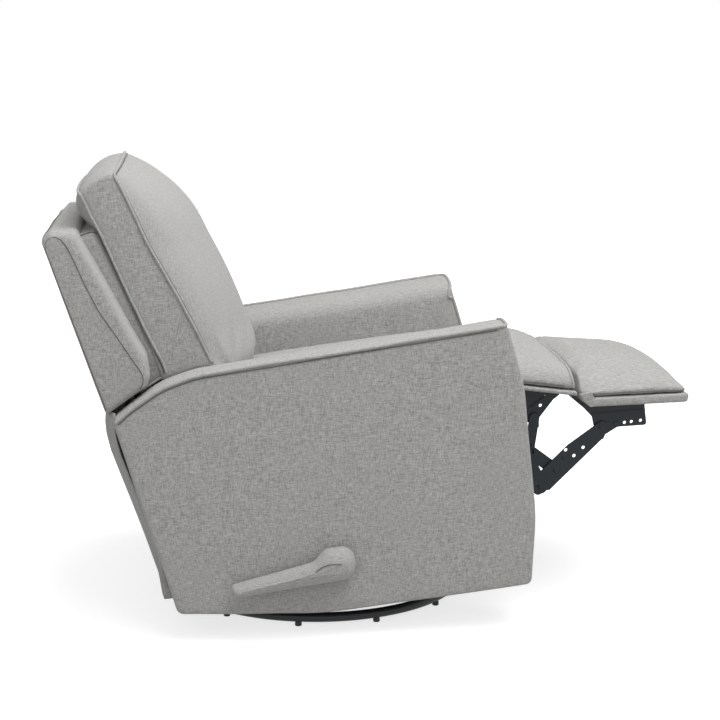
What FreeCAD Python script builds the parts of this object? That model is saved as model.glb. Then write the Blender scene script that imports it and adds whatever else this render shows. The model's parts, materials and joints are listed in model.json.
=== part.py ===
import FreeCAD, Part
import math
import os

V = FreeCAD.Vector

# Swivel glider recliner, in millimetres.
# +X is the way the sitter faces, +Y is the sitter's left, +Z is up.
# The origin is on the floor, on the swivel axis.
# The chair's own pieces are drawn level and then leaned back on the tilt pivot,
# because the chair is stored with its footrest out.

# Fits
pin_clearance = 0.05
seat_gap = 0.3
side_gap = 0.5

# Ring base
ring_outer_radius = 325
ring_tube_radius = 9
ring_bottom = 12
glide_radius = 7
glide_count = 12
glide_first_angle = -103
ring_section_sides = 12
spider_width = 40
spider_thickness = 12
hub_radius = 62

# Swivel
swivel_plate_side = 220
swivel_plate_thickness = 3
swivel_plate_bottom = 32
bearing_outer_radius = 85
bearing_inner_radius = 66
bearing_height = 9
king_pin_radius = 8
king_head_height = 4
king_nut_height = 8

# Glider frame and links
post_spacing = 240
post_width = 40
post_inner = 199
plate_gap = 1
frame_channel_height = 25
frame_wall = 2.5
frame_beam_offset = 62
post_plate = 5
glide_upper_pivot = 185
glide_link_length = 110
glide_link_width = 28
glide_link_thickness = 5
glide_pin_radius = 5
glide_pin_head = 4

# Carriage that hangs in the links
carriage_plate = 4
carriage_length = 500
carriage_flange = 30
carriage_leg_height = 36
carriage_tube = 25
carriage_tube_offset = 220
bumper_side = 24

# Lean of the chair
tilt_x = -100
tilt_z = 190
tilt_angle = 6.1
tilt_pin_radius = 6

# Arms
inside_width = 522
arm_thickness = 125
arm_front = 412
arm_front_height = 583
arm_rear_height = 487
arm_bottom = 43
arm_rear = 405
arm_foot_rear = 330
arm_top_round = 38

# Mechanism planes, each counted inward from the arm
side_plate_thickness = 3
link_thickness = 4
link_gap = 1
tube_side = 25
tube_wall = 2
mid_tube_x = 130
mid_tube_z = 345
low_tube_x = 215
low_tube_z = 145
pivot_pin_radius = 4

# Footrest linkage pivots, with the footrest out
drive_pivot = (389.5, 366.0)
knee_pivot = (452.0, 207.0)
board_pivot = (594.0, 318.0)
cross_pivot = (488.8, 235.7)
lift_top_pivot = (455.3, 352.3)
lift_foot_pivot = (438.0, 283.0)
flap_pivot = (425.0, 404.2)
drive_link_width = 36
long_link_width = 43
cross_link_width = 27
cross_hole_play = 5.2
lift_link_width = 21
rocker_radius = 38
rocker_angle = -15
rod_width = 14

# Lever and its torque tube
lever_x = 9
lever_z = 145
torque_tube_radius = 9
lever_length = 228
lever_hub_radius = 31
lever_neck = 40
lever_tip = 18
lever_depth = 44
lever_offset = 4
lever_drop = 6
lever_edge = 8
lever_bore_gap = 1.5

# Seat
seat_deck = 400
seat_rear = -262
seat_front = 405
seat_height = 487
rail_height = 20
front_rail_x = 300
front_rail_width = 38
rear_rail_width = 32
webbing_count = 5
webbing_width = 60
webbing_thickness = 2

# Flap and footrest
flap_front = 546
flap_rear_bottom = 426
flap_front_bottom = 392
flap_board_thickness = 10
footrest_rear = 549
footrest_tip = 785
board_rear = 575
board_rear_bottom = 365
board_tip_bottom = 348
board_thickness = 19
cross_rail_depth = 14

# Back
back_pivot_x = -300
back_pivot_z = 250
back_pin_radius = 6
back_width = 690
back_cushion_width = 560
back_round = 8
bracket_rear = 9
bracket_front = 28
flap_cloth_width = 600
flap_cloth_thickness = 2.5

# Worked out from the sizes above
inner = inside_width / 2
outer = inner + arm_thickness
ring_radius = ring_outer_radius - ring_tube_radius
ring_centre = ring_bottom + ring_tube_radius
swivel_top_bottom = swivel_plate_bottom + swivel_plate_thickness + bearing_height
frame_bottom = swivel_top_bottom + swivel_plate_thickness
frame_top = frame_bottom + frame_channel_height
glide_lower_pivot = glide_upper_pivot - glide_link_length
link_inner = post_inner + post_plate + plate_gap
carriage_inner = link_inner + glide_link_thickness + plate_gap
carriage_top = glide_lower_pivot + carriage_leg_height - glide_pin_radius * 3
side_plate_inner = inner - side_plate_thickness
link_pitch = link_thickness + link_gap
rod_plane = side_plate_inner - link_pitch
drive_plane = rod_plane - link_pitch
long_plane = drive_plane - link_pitch
cross_plane = long_plane - link_pitch
lift_plane = cross_plane - link_pitch
flap_plane = lift_plane - link_pitch
seat_half = inner - side_gap


# Helpers

def corner_points(before, corner, after, radius):
    """The start, middle and end of the round at one corner."""
    to_before = FreeCAD.Vector(before) - corner
    to_after = FreeCAD.Vector(after) - corner
    room = 0.48 * min(to_before.Length, to_after.Length)
    to_before.normalize()
    to_after.normalize()
    half = to_before.getAngle(to_after) / 2
    setback = min(radius / math.tan(half), room)
    used = setback * math.tan(half)
    inward = (to_before + to_after).normalize()
    middle = corner + inward * (used / math.sin(half) - used)
    return corner + to_before * setback, middle, corner + to_after * setback


def rounded_wire(corners, place):
    """A closed wire through (a, b, radius) corners; place turns (a, b) into a point."""
    points = [place(a, b) for a, b, radius in corners]
    count = len(points)
    rounds = []
    for i in range(count):
        radius = corners[i][2]
        if radius > 0:
            rounds.append(corner_points(points[i - 1], points[i], points[(i + 1) % count], radius))
        else:
            rounds.append((points[i], None, points[i]))
    edges = []
    for i in range(count):
        start, middle, end = rounds[i]
        if middle is not None:
            edges.append(Part.Arc(start, middle, end).toShape())
        following = rounds[(i + 1) % count][0]
        if end.distanceToPoint(following) > 1e-6:
            edges.append(Part.LineSegment(end, following).toShape())
    return Part.Wire(edges)


def side_wire(corners, y):
    return rounded_wire(corners, lambda x, z: V(x, y, z))


def side_plate(corners, y_low, y_high):
    """A plate with an outline in the XZ plane, between two heights along Y."""
    face = Part.Face(side_wire(corners, y_low))
    return face.extrude(V(0, y_high - y_low, 0))


def box(x_low, x_high, y_low, y_high, z_low, z_high):
    return Part.makeBox(x_high - x_low, y_high - y_low, z_high - z_low, V(x_low, y_low, z_low))


def pin(x, z, y_low, y_high, radius):
    return Part.makeCylinder(radius, y_high - y_low, V(x, y_low, z), V(0, 1, 0))


def bar_outline(start, start_radius, end, end_radius):
    """The outline of a link with a round end about each pivot."""
    ax, az = start
    bx, bz = end
    length = math.hypot(bx - ax, bz - az)
    along = math.atan2(bz - az, bx - ax)
    spread = math.acos((start_radius - end_radius) / length)

    def rim(centre, radius, angle):
        return V(centre[0] + radius * math.cos(angle), 0, centre[1] + radius * math.sin(angle))

    a_high = rim(start, start_radius, along + spread)
    a_low = rim(start, start_radius, along - spread)
    b_high = rim(end, end_radius, along + spread)
    b_low = rim(end, end_radius, along - spread)
    a_back = rim(start, start_radius, along + math.pi)
    b_front = rim(end, end_radius, along)
    return Part.Wire([
        Part.Arc(a_high, a_back, a_low).toShape(),
        Part.LineSegment(a_low, b_low).toShape(),
        Part.Arc(b_low, b_front, b_high).toShape(),
        Part.LineSegment(b_high, a_high).toShape(),
    ])


def bar_link(start, start_radius, end, end_radius, y_low, thickness):
    face = Part.Face(bar_outline(start, start_radius, end, end_radius))
    face.translate(V(0, y_low, 0))
    return face.extrude(V(0, thickness, 0))


def drill(solid, places, radius, y_low, y_high):
    for x, z in places:
        solid = solid.cut(pin(x, z, y_low - 1, y_high + 1, radius))
    return solid


def square_tube_y(x, z, side, wall, y_half):
    solid = box(x - side / 2, x + side / 2, -y_half, y_half, z - side / 2, z + side / 2)
    hollow = side / 2 - wall
    return solid.cut(box(x - hollow, x + hollow, -y_half, y_half, z - hollow, z + hollow))


def mirrored(solid):
    return solid.mirror(V(0, 0, 0), V(0, 1, 0))


def both_sides(solid):
    return Part.makeCompound([solid, mirrored(solid)])


def turned(point, centre, angle):
    """A point of the XZ plane turned about a centre, clockwise seen from the near side."""
    a = math.radians(angle)
    dx = point[0] - centre[0]
    dz = point[1] - centre[1]
    return (centre[0] + dx * math.cos(a) + dz * math.sin(a),
            centre[1] - dx * math.sin(a) + dz * math.cos(a))


# Base that stands on the floor

def ring_solid(extra=0.0):
    """The tube ring; its section has twelve sides to keep the mesh light."""
    radius = ring_tube_radius + extra
    section = []
    for i in range(ring_section_sides + 1):
        a = 2 * math.pi * i / ring_section_sides
        section.append(V(ring_radius + radius * math.cos(a), 0, ring_centre + radius * math.sin(a)))
    return Part.Face(Part.makePolygon(section)).revolve(V(0, 0, 0), V(0, 0, 1), 360)


def make_base_glides():
    """Plastic feet under the ring, eight-sided because there are so many."""
    feet = []
    for i in range(glide_count):
        a = math.radians(glide_first_angle + i * 360.0 / glide_count)
        x = ring_radius * math.cos(a)
        y = ring_radius * math.sin(a)
        rim = []
        for k in range(9):
            b = a + k * math.pi / 4
            rim.append(V(x + glide_radius * math.cos(b), y + glide_radius * math.sin(b), 0))
        foot = Part.Face(Part.makePolygon(rim)).extrude(V(0, 0, ring_bottom))
        feet.append(foot)
    return Part.makeCompound(feet)


def make_base_spider():
    low = ring_centre - spider_thickness / 2
    high = ring_centre + spider_thickness / 2
    half = spider_width / 2
    one = box(-ring_radius, ring_radius, -half, half, low, high)
    one.rotate(V(0, 0, 0), V(0, 0, 1), 45)
    other = one.copy()
    other.rotate(V(0, 0, 0), V(0, 0, 1), 90)
    hub = Part.makeCylinder(hub_radius, swivel_plate_bottom - low, V(0, 0, low))
    spider = one.fuse([other, hub]).removeSplitter()
    bore = Part.makeCylinder(king_pin_radius + pin_clearance, 60, V(0, 0, 0))
    return spider.cut(ring_solid(pin_clearance)).cut(bore)


def swivel_plate(bottom, clearance):
    half = swivel_plate_side / 2
    corners = [(-half, -half, 18), (half, -half, 18), (half, half, 18), (-half, half, 18)]
    wire = rounded_wire(corners, lambda x, y: V(x, y, bottom))
    plate = Part.Face(wire).extrude(V(0, 0, swivel_plate_thickness))
    return plate.cut(Part.makeCylinder(king_pin_radius + clearance, 20, V(0, 0, bottom - 5)))


def make_bearing_ring():
    bottom = swivel_plate_bottom + swivel_plate_thickness
    height = bearing_height - seat_gap
    ring = Part.makeCylinder(bearing_outer_radius, height, V(0, 0, bottom))
    return ring.cut(Part.makeCylinder(bearing_inner_radius, height, V(0, 0, bottom)))


def hexagon(across, height, bottom):
    """A six-sided bolt head or nut on the swivel axis."""
    radius = across / math.sqrt(3)
    rim = [V(radius * math.cos(i * math.pi / 3), radius * math.sin(i * math.pi / 3), bottom) for i in range(7)]
    return Part.Face(Part.makePolygon(rim)).extrude(V(0, 0, height))


def make_king_pin():
    low = ring_centre - spider_thickness / 2
    nut_bottom = frame_bottom + seat_gap
    shaft = Part.makeCylinder(king_pin_radius, nut_bottom + king_nut_height - low, V(0, 0, low))
    head = hexagon(king_pin_radius * 3, king_head_height, low - king_head_height)
    nut = hexagon(king_pin_radius * 3.4, king_nut_height, nut_bottom)
    return shaft.fuse([head, nut]).removeSplitter()


# Frame that turns on the base and holds the four glider links

def channel_y(x, y_half):
    outside = box(x - post_width / 2, x + post_width / 2, -y_half, y_half, frame_bottom, frame_top)
    inside = box(x - post_width / 2 + frame_wall, x + post_width / 2 - frame_wall, -y_half, y_half,
                 frame_bottom, frame_top - frame_wall)
    return outside.cut(inside)


def channel_x(y, x_half):
    outside = box(-x_half, x_half, y - 15, y + 15, frame_bottom, frame_top)
    inside = box(-x_half, x_half, y - 15 + frame_wall, y + 15 - frame_wall,
                 frame_bottom, frame_top - frame_wall)
    return outside.cut(inside)


def hanger_post(x):
    half = post_width / 2
    corners = [
        (x - half, frame_bottom, 2),
        (x + half, frame_bottom, 2),
        (x + half, frame_top, 20),
        (x + 15, glide_upper_pivot + 15, 13),
        (x - 15, glide_upper_pivot + 15, 13),
        (x - half, frame_top, 20),
    ]
    return side_plate(corners, post_inner, post_inner + post_plate)


def make_glider_frame():
    reach = post_spacing / 2
    pieces = [channel_y(-reach, post_inner), channel_y(reach, post_inner)]
    beam_half = reach - post_width / 2
    pieces += [channel_x(-frame_beam_offset, beam_half), channel_x(frame_beam_offset, beam_half)]
    for x in (-reach, reach):
        post = hanger_post(x)
        pieces += [post, mirrored(post)]
    frame = pieces[0].fuse(pieces[1:]).removeSplitter()
    holes = []
    for x in (-reach, reach):
        holes.append(pin(x, glide_upper_pivot, -300, 300, glide_pin_radius + pin_clearance))
    return frame.cut(holes)


def glide_pins(z, y_low, y_high, head_low):
    """Shoulder pins through one row of link ends, each with one head."""
    solids = []
    for x in (-post_spacing / 2, post_spacing / 2):
        one = pin(x, z, y_low, y_high, glide_pin_radius)
        head = pin(x, z, head_low, head_low + glide_pin_head, glide_pin_radius + 3)
        one = one.fuse(head).removeSplitter()
        solids += [one, mirrored(one)]
    return Part.makeCompound(solids)


def make_glide_links(x):
    radius = glide_link_width / 2
    link = bar_link((x, glide_lower_pivot), radius, (x, glide_upper_pivot), radius,
                    link_inner, glide_link_thickness)
    ends = [(x, glide_lower_pivot), (x, glide_upper_pivot)]
    link = drill(link, ends, glide_pin_radius + pin_clearance, link_inner, link_inner + glide_link_thickness)
    return both_sides(link)


# Carriage that swings in the links and carries the chair

def make_carriage_rails():
    half = carriage_length / 2
    low = glide_lower_pivot - 3 * glide_pin_radius
    outer_y = carriage_inner + carriage_plate
    leg = side_plate([(-half, low, 10), (half, low, 10), (half, carriage_top, 0), (-half, carriage_top, 0)],
                     carriage_inner, outer_y)
    flange = box(-half, half, carriage_inner, carriage_inner + carriage_flange,
                 carriage_top - carriage_plate, carriage_top)
    upright = side_plate([(tilt_x - 45, carriage_top - 1, 0), (tilt_x + 45, carriage_top - 1, 0),
                          (tilt_x + 17, tilt_z + 16, 14), (tilt_x - 17, tilt_z + 16, 14)],
                         carriage_inner, outer_y)
    rail = leg.fuse([flange, upright]).removeSplitter()
    reach = post_spacing / 2
    rail = drill(rail, [(-reach, glide_lower_pivot), (reach, glide_lower_pivot)],
                 glide_pin_radius + pin_clearance, carriage_inner, outer_y)
    rail = drill(rail, [(tilt_x, tilt_z)], tilt_pin_radius + pin_clearance, carriage_inner, outer_y)
    return both_sides(rail)


def make_carriage_tubes():
    z = glide_lower_pivot
    return Part.makeCompound([
        square_tube_y(-carriage_tube_offset, z, carriage_tube, tube_wall, carriage_inner),
        square_tube_y(carriage_tube_offset, z, carriage_tube, tube_wall, carriage_inner),
    ])


def make_tilt_bumpers():
    """Rubber stops under the two low tubes: the rear pair bears now, the front pair when closed."""
    half = bumper_side / 2
    y = carriage_inner + carriage_plate + 1
    solids = []
    tube_bottom = low_tube_z - tube_side / 2
    rear_corner = turned((-low_tube_x - tube_side / 2, tube_bottom), (tilt_x, tilt_z), -tilt_angle)
    for x, top in ((-low_tube_x, rear_corner[1] - seat_gap), (low_tube_x, tube_bottom - seat_gap)):
        stop = box(x - half, x + half, y, y + bumper_side, carriage_top, top)
        solids += [stop, mirrored(stop)]
    return Part.makeCompound(solids)


def make_tilt_pins():
    return both_sides(pin(tilt_x, tilt_z, carriage_inner, inner, tilt_pin_radius))


# Chair: side plates and cross tubes

def make_mechanism_plates():
    corners = [
        (back_pivot_x - 24, back_pivot_z - 22, 20),
        (-low_tube_x - 30, low_tube_z - 19, 20),
        (low_tube_x + 26, low_tube_z - 19, 20),
        (drive_pivot[0] - 70, drive_pivot[1] - 80, 60),
        (drive_pivot[0] + 20, drive_pivot[1] - 30, 30),
        (flap_pivot[0] + 14, flap_pivot[1] - 16, 10),
        (flap_pivot[0] + 13, flap_pivot[1] + 13, 10),
        (flap_pivot[0] - 14, flap_pivot[1] + 13, 10),
        (drive_pivot[0] + 4, seat_deck - 8, 20),
        (drive_pivot[0] - 32, seat_deck - rail_height - 6, 20),
        (mid_tube_x + 60, mid_tube_z + 20, 60),
        (mid_tube_x - 12, mid_tube_z + 22, 14),
        (lever_x + 50, tilt_z + 48, 60),
        (tilt_x - 40, tilt_z + 30, 60),
        (back_pivot_x + 50, back_pivot_z + 26, 30),
        (back_pivot_x - 24, back_pivot_z + 22, 20),
    ]
    plate = side_plate(corners, side_plate_inner, inner)
    fit = pin_clearance
    plate = drill(plate, [(tilt_x, tilt_z)], tilt_pin_radius + fit, side_plate_inner, inner)
    plate = drill(plate, [(lever_x, lever_z)], torque_tube_radius + fit, side_plate_inner, inner)
    plate = drill(plate, [(back_pivot_x, back_pivot_z)], back_pin_radius + fit, side_plate_inner, inner)
    plate = drill(plate, [drive_pivot, flap_pivot], pivot_pin_radius + fit, side_plate_inner, inner)
    return both_sides(plate)


def make_cross_tubes():
    tubes = []
    for x, z in ((mid_tube_x, mid_tube_z), (low_tube_x, low_tube_z), (-low_tube_x, low_tube_z)):
        tubes.append(square_tube_y(x, z, tube_side, tube_wall, side_plate_inner))
    return Part.makeCompound(tubes)


def make_chair_pins():
    """The pins that the side plates hold: drive links, flap brackets and back brackets."""
    solids = []
    for point, low, radius in ((drive_pivot, drive_plane, pivot_pin_radius),
                               (flap_pivot, flap_plane, pivot_pin_radius),
                               ((back_pivot_x, back_pivot_z), rod_plane, back_pin_radius)):
        one = pin(point[0], point[1], low, inner, radius)
        solids += [one, mirrored(one)]
    return Part.makeCompound(solids)


# Lever, torque tube and drive rods

def rocker_point(centre):
    a = math.radians(rocker_angle)
    return (centre[0] + rocker_radius * math.cos(a), centre[1] + rocker_radius * math.sin(a))


def make_torque_tube():
    centre = (lever_x, lever_z)
    tube = pin(lever_x, lever_z, -outer - 6, inner, torque_tube_radius)
    end = rocker_point(centre)
    cranks = []
    for y_low in (drive_plane, -drive_plane - link_thickness):
        crank = bar_link(centre, torque_tube_radius + 7, end, 9, y_low, link_thickness)
        cranks.append(crank)
    stub = pin(end[0], end[1], drive_plane, rod_plane + link_thickness, pivot_pin_radius)
    return tube.fuse(cranks + [stub, mirrored(stub)]).removeSplitter()


def make_drive_rods():
    start = rocker_point((lever_x, lever_z))
    end = rocker_point(drive_pivot)
    rod = bar_link(start, rod_width / 2, end, rod_width / 2, rod_plane, link_thickness)
    rod = drill(rod, [start], pivot_pin_radius + pin_clearance, rod_plane, rod_plane + link_thickness)
    rod = drill(rod, [end], pivot_pin_radius + 0.4, rod_plane, rod_plane + link_thickness)
    return both_sides(rod)


def make_lever_handle():
    """A padded lever: a round hub on the torque tube and a grip that tapers to the rear."""
    face_y = -outer - lever_offset
    hub = pin(lever_x, lever_z, face_y - lever_depth, face_y, lever_hub_radius)
    crown = [edge for edge in hub.Edges if edge.BoundBox.YMax < face_y - lever_depth + 1]
    hub = hub.makeChamfer(lever_edge, crown)
    tip = (lever_x - lever_length + lever_tip / 2, lever_z - lever_drop)
    grip = bar_link((lever_x, lever_z), lever_neck / 2, tip, lever_tip / 2,
                    face_y - lever_depth * 0.76, lever_depth * 0.62)
    grip = grip.makeChamfer(lever_edge * 0.7, grip.Edges)
    handle = hub.fuse(grip).removeSplitter()
    socket = pin(lever_x, lever_z, -outer - 10, -outer, torque_tube_radius + pin_clearance)
    return handle.cut(socket)


# Footrest linkage

def make_drive_links():
    radius = drive_link_width / 2
    link = bar_link(drive_pivot, radius, knee_pivot, radius - 2, drive_plane, link_thickness)
    ear_end = rocker_point(drive_pivot)
    ear = bar_link(drive_pivot, radius - 4, ear_end, 9, drive_plane, link_thickness)
    link = link.fuse(ear).removeSplitter()
    low = drive_plane
    high = drive_plane + link_thickness
    link = drill(link, [drive_pivot], pivot_pin_radius + pin_clearance, low, high)
    stub = pin(ear_end[0], ear_end[1], low, rod_plane + link_thickness, pivot_pin_radius)
    knee = pin(knee_pivot[0], knee_pivot[1], long_plane, high, pivot_pin_radius)
    link = link.fuse([stub, knee]).removeSplitter()
    return both_sides(link)


def offset_point(start, end, along, across):
    """A point given by its distance along and above the line between two pivots."""
    length = math.hypot(end[0] - start[0], end[1] - start[1])
    ux = (end[0] - start[0]) / length
    uz = (end[1] - start[1]) / length
    return (start[0] + ux * along - uz * across, start[1] + uz * along + ux * across)


def make_long_links():
    """Pressed links with a stepped lower edge, a kinked upper edge and lightening holes."""
    half = long_link_width / 2
    length = math.hypot(board_pivot[0] - knee_pivot[0], board_pivot[1] - knee_pivot[1])
    shape = [(-20, -half + 9, 10), (-18, half - 4, 8), (0, half, 10), (length - 78, half, 30),
             (length - 20, half - 9, 20), (length + 12, half - 14, 10), (length + 12, -half + 10, 10),
             (length - 16, -half - 2, 2), (length - 18, -half, 1), (8, -half, 1), (4, -half + 4, 1)]
    corners = []
    for along, across, radius in shape:
        x, z = offset_point(knee_pivot, board_pivot, along, across)
        corners.append((x, z, radius))
    low = long_plane
    high = long_plane + link_thickness
    link = side_plate(corners, low, high)
    link = drill(link, [knee_pivot], pivot_pin_radius + pin_clearance, low, high)
    holes = [offset_point(knee_pivot, board_pivot, along, across)
             for along, across in ((92, 17), (96, -5), (122, -6))]
    link = drill(link, holes, 3.9, low, high)
    board = pin(board_pivot[0], board_pivot[1], cross_plane, high, pivot_pin_radius)
    cross = pin(cross_pivot[0], cross_pivot[1], cross_plane, high, pivot_pin_radius)
    link = link.fuse([board, cross]).removeSplitter()
    return both_sides(link)


def make_cross_links():
    low = cross_plane
    high = cross_plane + link_thickness
    radius = cross_link_width / 2
    link = bar_link(cross_pivot, radius, lift_foot_pivot, radius, low, link_thickness)
    link = drill(link, [cross_pivot], pivot_pin_radius + pin_clearance, low, high)
    link = drill(link, [lift_foot_pivot], pivot_pin_radius + cross_hole_play, low, high)
    return both_sides(link)


def make_lift_links():
    low = lift_plane
    high = lift_plane + link_thickness
    radius = lift_link_width / 2
    link = bar_link(lift_foot_pivot, radius, lift_top_pivot, radius, low, link_thickness)
    top_x, top_z = lift_top_pivot
    tab = side_plate([(top_x - 14, top_z - 22, 3), (top_x + 8, top_z - 22, 4),
                      (top_x + 9, top_z + 1, 5), (top_x - 12, top_z + 1, 3)], low, high)
    link = link.fuse(tab).removeSplitter()
    link = drill(link, [lift_top_pivot], pivot_pin_radius + pin_clearance, low, high)
    foot = pin(lift_foot_pivot[0], lift_foot_pivot[1], low, cross_plane + link_thickness, pivot_pin_radius)
    link = link.fuse(foot).removeSplitter()
    return both_sides(link)


def flap_bottom(x):
    """Height of the flap's underside."""
    share = (x - seat_front) / (flap_front - seat_front)
    return flap_rear_bottom + share * (flap_front_bottom - flap_rear_bottom)


def make_flap_brackets():
    """Two arms with a slit between them rise from the lift link to the flap's board."""
    fx, fz = flap_pivot
    tx, tz = lift_top_pivot
    front_x = tx + 58
    top_gap = seat_gap
    corners = [
        (fx - 11, fz - 10, 8),
        (tx - 16, tz - 8, 6),
        (tx - 2, tz - 12, 8),
        (tx + 10, tz - 3, 6),
        (front_x - 14, flap_bottom(front_x - 14) - 18, 6),
        (front_x, flap_bottom(front_x) - 6, 3),
        (front_x, flap_bottom(front_x) - top_gap, 0),
        (fx + 24, flap_bottom(fx + 24) - top_gap, 0),
        (fx + 10, fz + 11, 8),
        (fx - 11, fz + 11, 8),
    ]
    low = flap_plane
    high = flap_plane + link_thickness
    plate = side_plate(corners, low, high)
    slit = bar_link((tx - 8, tz + 24), 2.6, (tx + 27, flap_bottom(tx + 27) - 9), 2.6, low, link_thickness)
    plate = plate.cut(slit)
    top = flap_bottom(front_x) - top_gap
    flange_start = fx + 26
    flange_corners = [
        (flange_start, flap_bottom(flange_start) - top_gap - 3, 0),
        (front_x, top - 3, 0),
        (front_x, top, 0),
        (flange_start, flap_bottom(flange_start) - top_gap, 0),
    ]
    flange = side_plate(flange_corners, low - 22, high)
    plate = plate.fuse(flange).removeSplitter()
    plate = drill(plate, [flap_pivot], pivot_pin_radius + pin_clearance, low, high)
    plate = drill(plate, [(tx + 16, tz + 24)], 3.6, low, high)
    stub = pin(tx, tz, low, lift_plane + link_thickness, pivot_pin_radius)
    plate = plate.fuse(stub).removeSplitter()
    return both_sides(plate)


def board_bottom(x):
    share = (x - board_rear) / (footrest_tip - board_rear)
    return board_rear_bottom + share * (board_tip_bottom - board_rear_bottom)


def make_footrest_brackets():
    bx, bz = board_pivot
    low = cross_plane
    high = cross_plane + link_thickness
    ear_top = board_rear_bottom + board_thickness - 2
    ear_rear = board_rear - cross_rail_depth
    ear_front = board_rear - seat_gap
    corners = [
        (ear_front, board_bottom(board_rear), 0),
        (ear_front, ear_top, 0),
        (ear_rear, ear_top, 0),
        (ear_rear, board_rear_bottom - 4, 3),
        (bx - 17, bz + 22, 3),
        (bx - 11, bz - 30, 6),
        (bx + 4, bz - 22, 8),
        (bx + 36, bz - 7, 14),
        (bx + 99, bz - 11, 6),
        (bx + 98, bz + 23, 5),
        (bx + 98, board_bottom(bx + 98), 0),
    ]
    plate = side_plate(corners, low, high)
    flange_corners = [
        (bx - 16, board_bottom(bx - 16) - 3, 0),
        (bx + 134, board_bottom(bx + 134) - 3, 0),
        (bx + 134, board_bottom(bx + 134), 0),
        (bx - 16, board_bottom(bx - 16), 0),
    ]
    flange = side_plate(flange_corners, low - 24, high)
    rib = side_plate([(bx - 16, bz + 25, 0), (bx + 98, bz + 20, 0), (bx + 98, bz + 24, 0), (bx - 16, bz + 29, 0)],
                     high, high + 1.5)
    plate = plate.fuse([flange, rib]).removeSplitter()
    plate = drill(plate, [board_pivot], pivot_pin_radius + pin_clearance, low, high)
    holes = [(bx + step, bz) for step in (52, 67, 87)]
    plate = drill(plate, holes, 3.6, low, high + 2)
    return both_sides(plate)


def make_footrest_cross_rail():
    """An angle that joins the two brackets behind the board."""
    low = board_bottom(board_rear) - 18
    high = board_bottom(board_rear) + board_thickness - 2
    back = board_rear - cross_rail_depth
    corners = [(back, low + 14, 3), (board_rear - 1, low, 2), (board_rear - 1, low + 4, 0),
               (back + 3, low + 17, 2), (back + 3, high, 0), (back, high, 0)]
    return side_plate(corners, -cross_plane, cross_plane)


def make_footrest_board():
    corners = [
        (board_rear, board_bottom(board_rear), 3),
        (footrest_tip - 4, board_bottom(footrest_tip - 4), 5),
        (footrest_tip, board_bottom(footrest_tip) + board_thickness, 3),
        (board_rear, board_bottom(board_rear) + board_thickness, 3),
    ]
    return side_plate(corners, -seat_half, seat_half)


# Soft pads

def pad_section(x, half, low, side, shoulder, crown, inset):
    """One crowned cross-section, square to X: a flat bottom, drawn-in sides and an arched top."""
    def at(y, z):
        return V(x, y, z)
    pull = half - 6
    rise = half - inset
    edges = [
        Part.LineSegment(at(-pull, low), at(pull, low)).toShape(),
        Part.Arc(at(pull, low), at(half - 1.5, (low + side) / 2), at(half, side)).toShape(),
        Part.Arc(at(half, side), at(half - inset * 0.33, side + (shoulder - side) * 0.68),
                 at(rise, shoulder)).toShape(),
        Part.Arc(at(rise, shoulder), at(0, crown), at(-rise, shoulder)).toShape(),
        Part.Arc(at(-rise, shoulder), at(-half + inset * 0.33, side + (shoulder - side) * 0.68),
                 at(-half, side)).toShape(),
        Part.Arc(at(-half, side), at(-half + 1.5, (low + side) / 2), at(-pull, low)).toShape(),
    ]
    return Part.Wire(edges)


def make_seat_cushion():
    """Seat pad with a crown, a rolled front edge and drawn-in sides."""
    low = seat_deck + seat_gap
    front = seat_front - seat_gap
    top = seat_height
    half = seat_half
    depth = front - seat_rear
    sections = [
        pad_section(seat_rear, half - 3, low, low + 34, top - 22, top - 14, 60),
        pad_section(seat_rear + depth * 0.3, half, low, low + 42, top - 12, top - 2, 60),
        pad_section(seat_rear + depth * 0.65, half, low, low + 46, top - 8, top + 3, 60),
        pad_section(front - 30, half, low, low + 46, top - 6, top + 4, 60),
        pad_section(front, half - 1, low + 22, low + 46, top - 9, top + 1, 60),
    ]
    return Part.makeLoft(sections, True, True)


def make_flap_pad():
    """The padded flap between the seat and the footrest."""
    top = seat_height
    depth = flap_front - seat_front
    stations = [(0.0, 1, top - 9, top + 1, 60), (0.4, 0, top - 13, top - 2, 60),
                (0.75, 0, top - 24, top - 12, 56), (1.0, 2, top - 43, top - 33, 50)]
    sections = []
    for share, pull, shoulder, crown, inset in stations:
        x = seat_front + share * depth
        low = flap_bottom(x) + flap_board_thickness + seat_gap
        sections.append(pad_section(x, seat_half - pull, low, low + 14, shoulder, crown, inset))
    return Part.makeLoft(sections, True, True)


def make_flap_board():
    rear = seat_front + 14
    corners = [
        (rear, flap_bottom(rear), 2),
        (flap_front, flap_bottom(flap_front), 2),
        (flap_front, flap_bottom(flap_front) + flap_board_thickness, 2),
        (rear, flap_bottom(rear) + flap_board_thickness, 2),
    ]
    return side_plate(corners, -seat_half, seat_half)


def make_footrest_pad():
    """Footrest pad: full at the seam, thin at the tip, with rolled sides."""
    def bottom(x):
        return board_bottom(x) + board_thickness
    half = seat_half
    length = footrest_tip - footrest_rear
    rear = footrest_rear
    stations = [
        (0.0, 4, 16, 52, 62, 50, 3),
        (0.14, 0, 14, 48, 66, 62, 0),
        (0.7, 0, 17, 35, 52, 66, 0),
        (0.95, 0, 16, 24, 36, 60, 1),
        (1.0, 0, 8, 13, 18, 50, 4),
    ]
    sections = []
    for share, low, side, shoulder, crown, inset, pull in stations:
        x = rear + share * length
        z = bottom(x)
        sections.append(pad_section(x, half - pull, z + low, z + side, z + shoulder, z + crown, inset))
    return Part.makeLoft(sections, True, True)


# Arms

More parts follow.
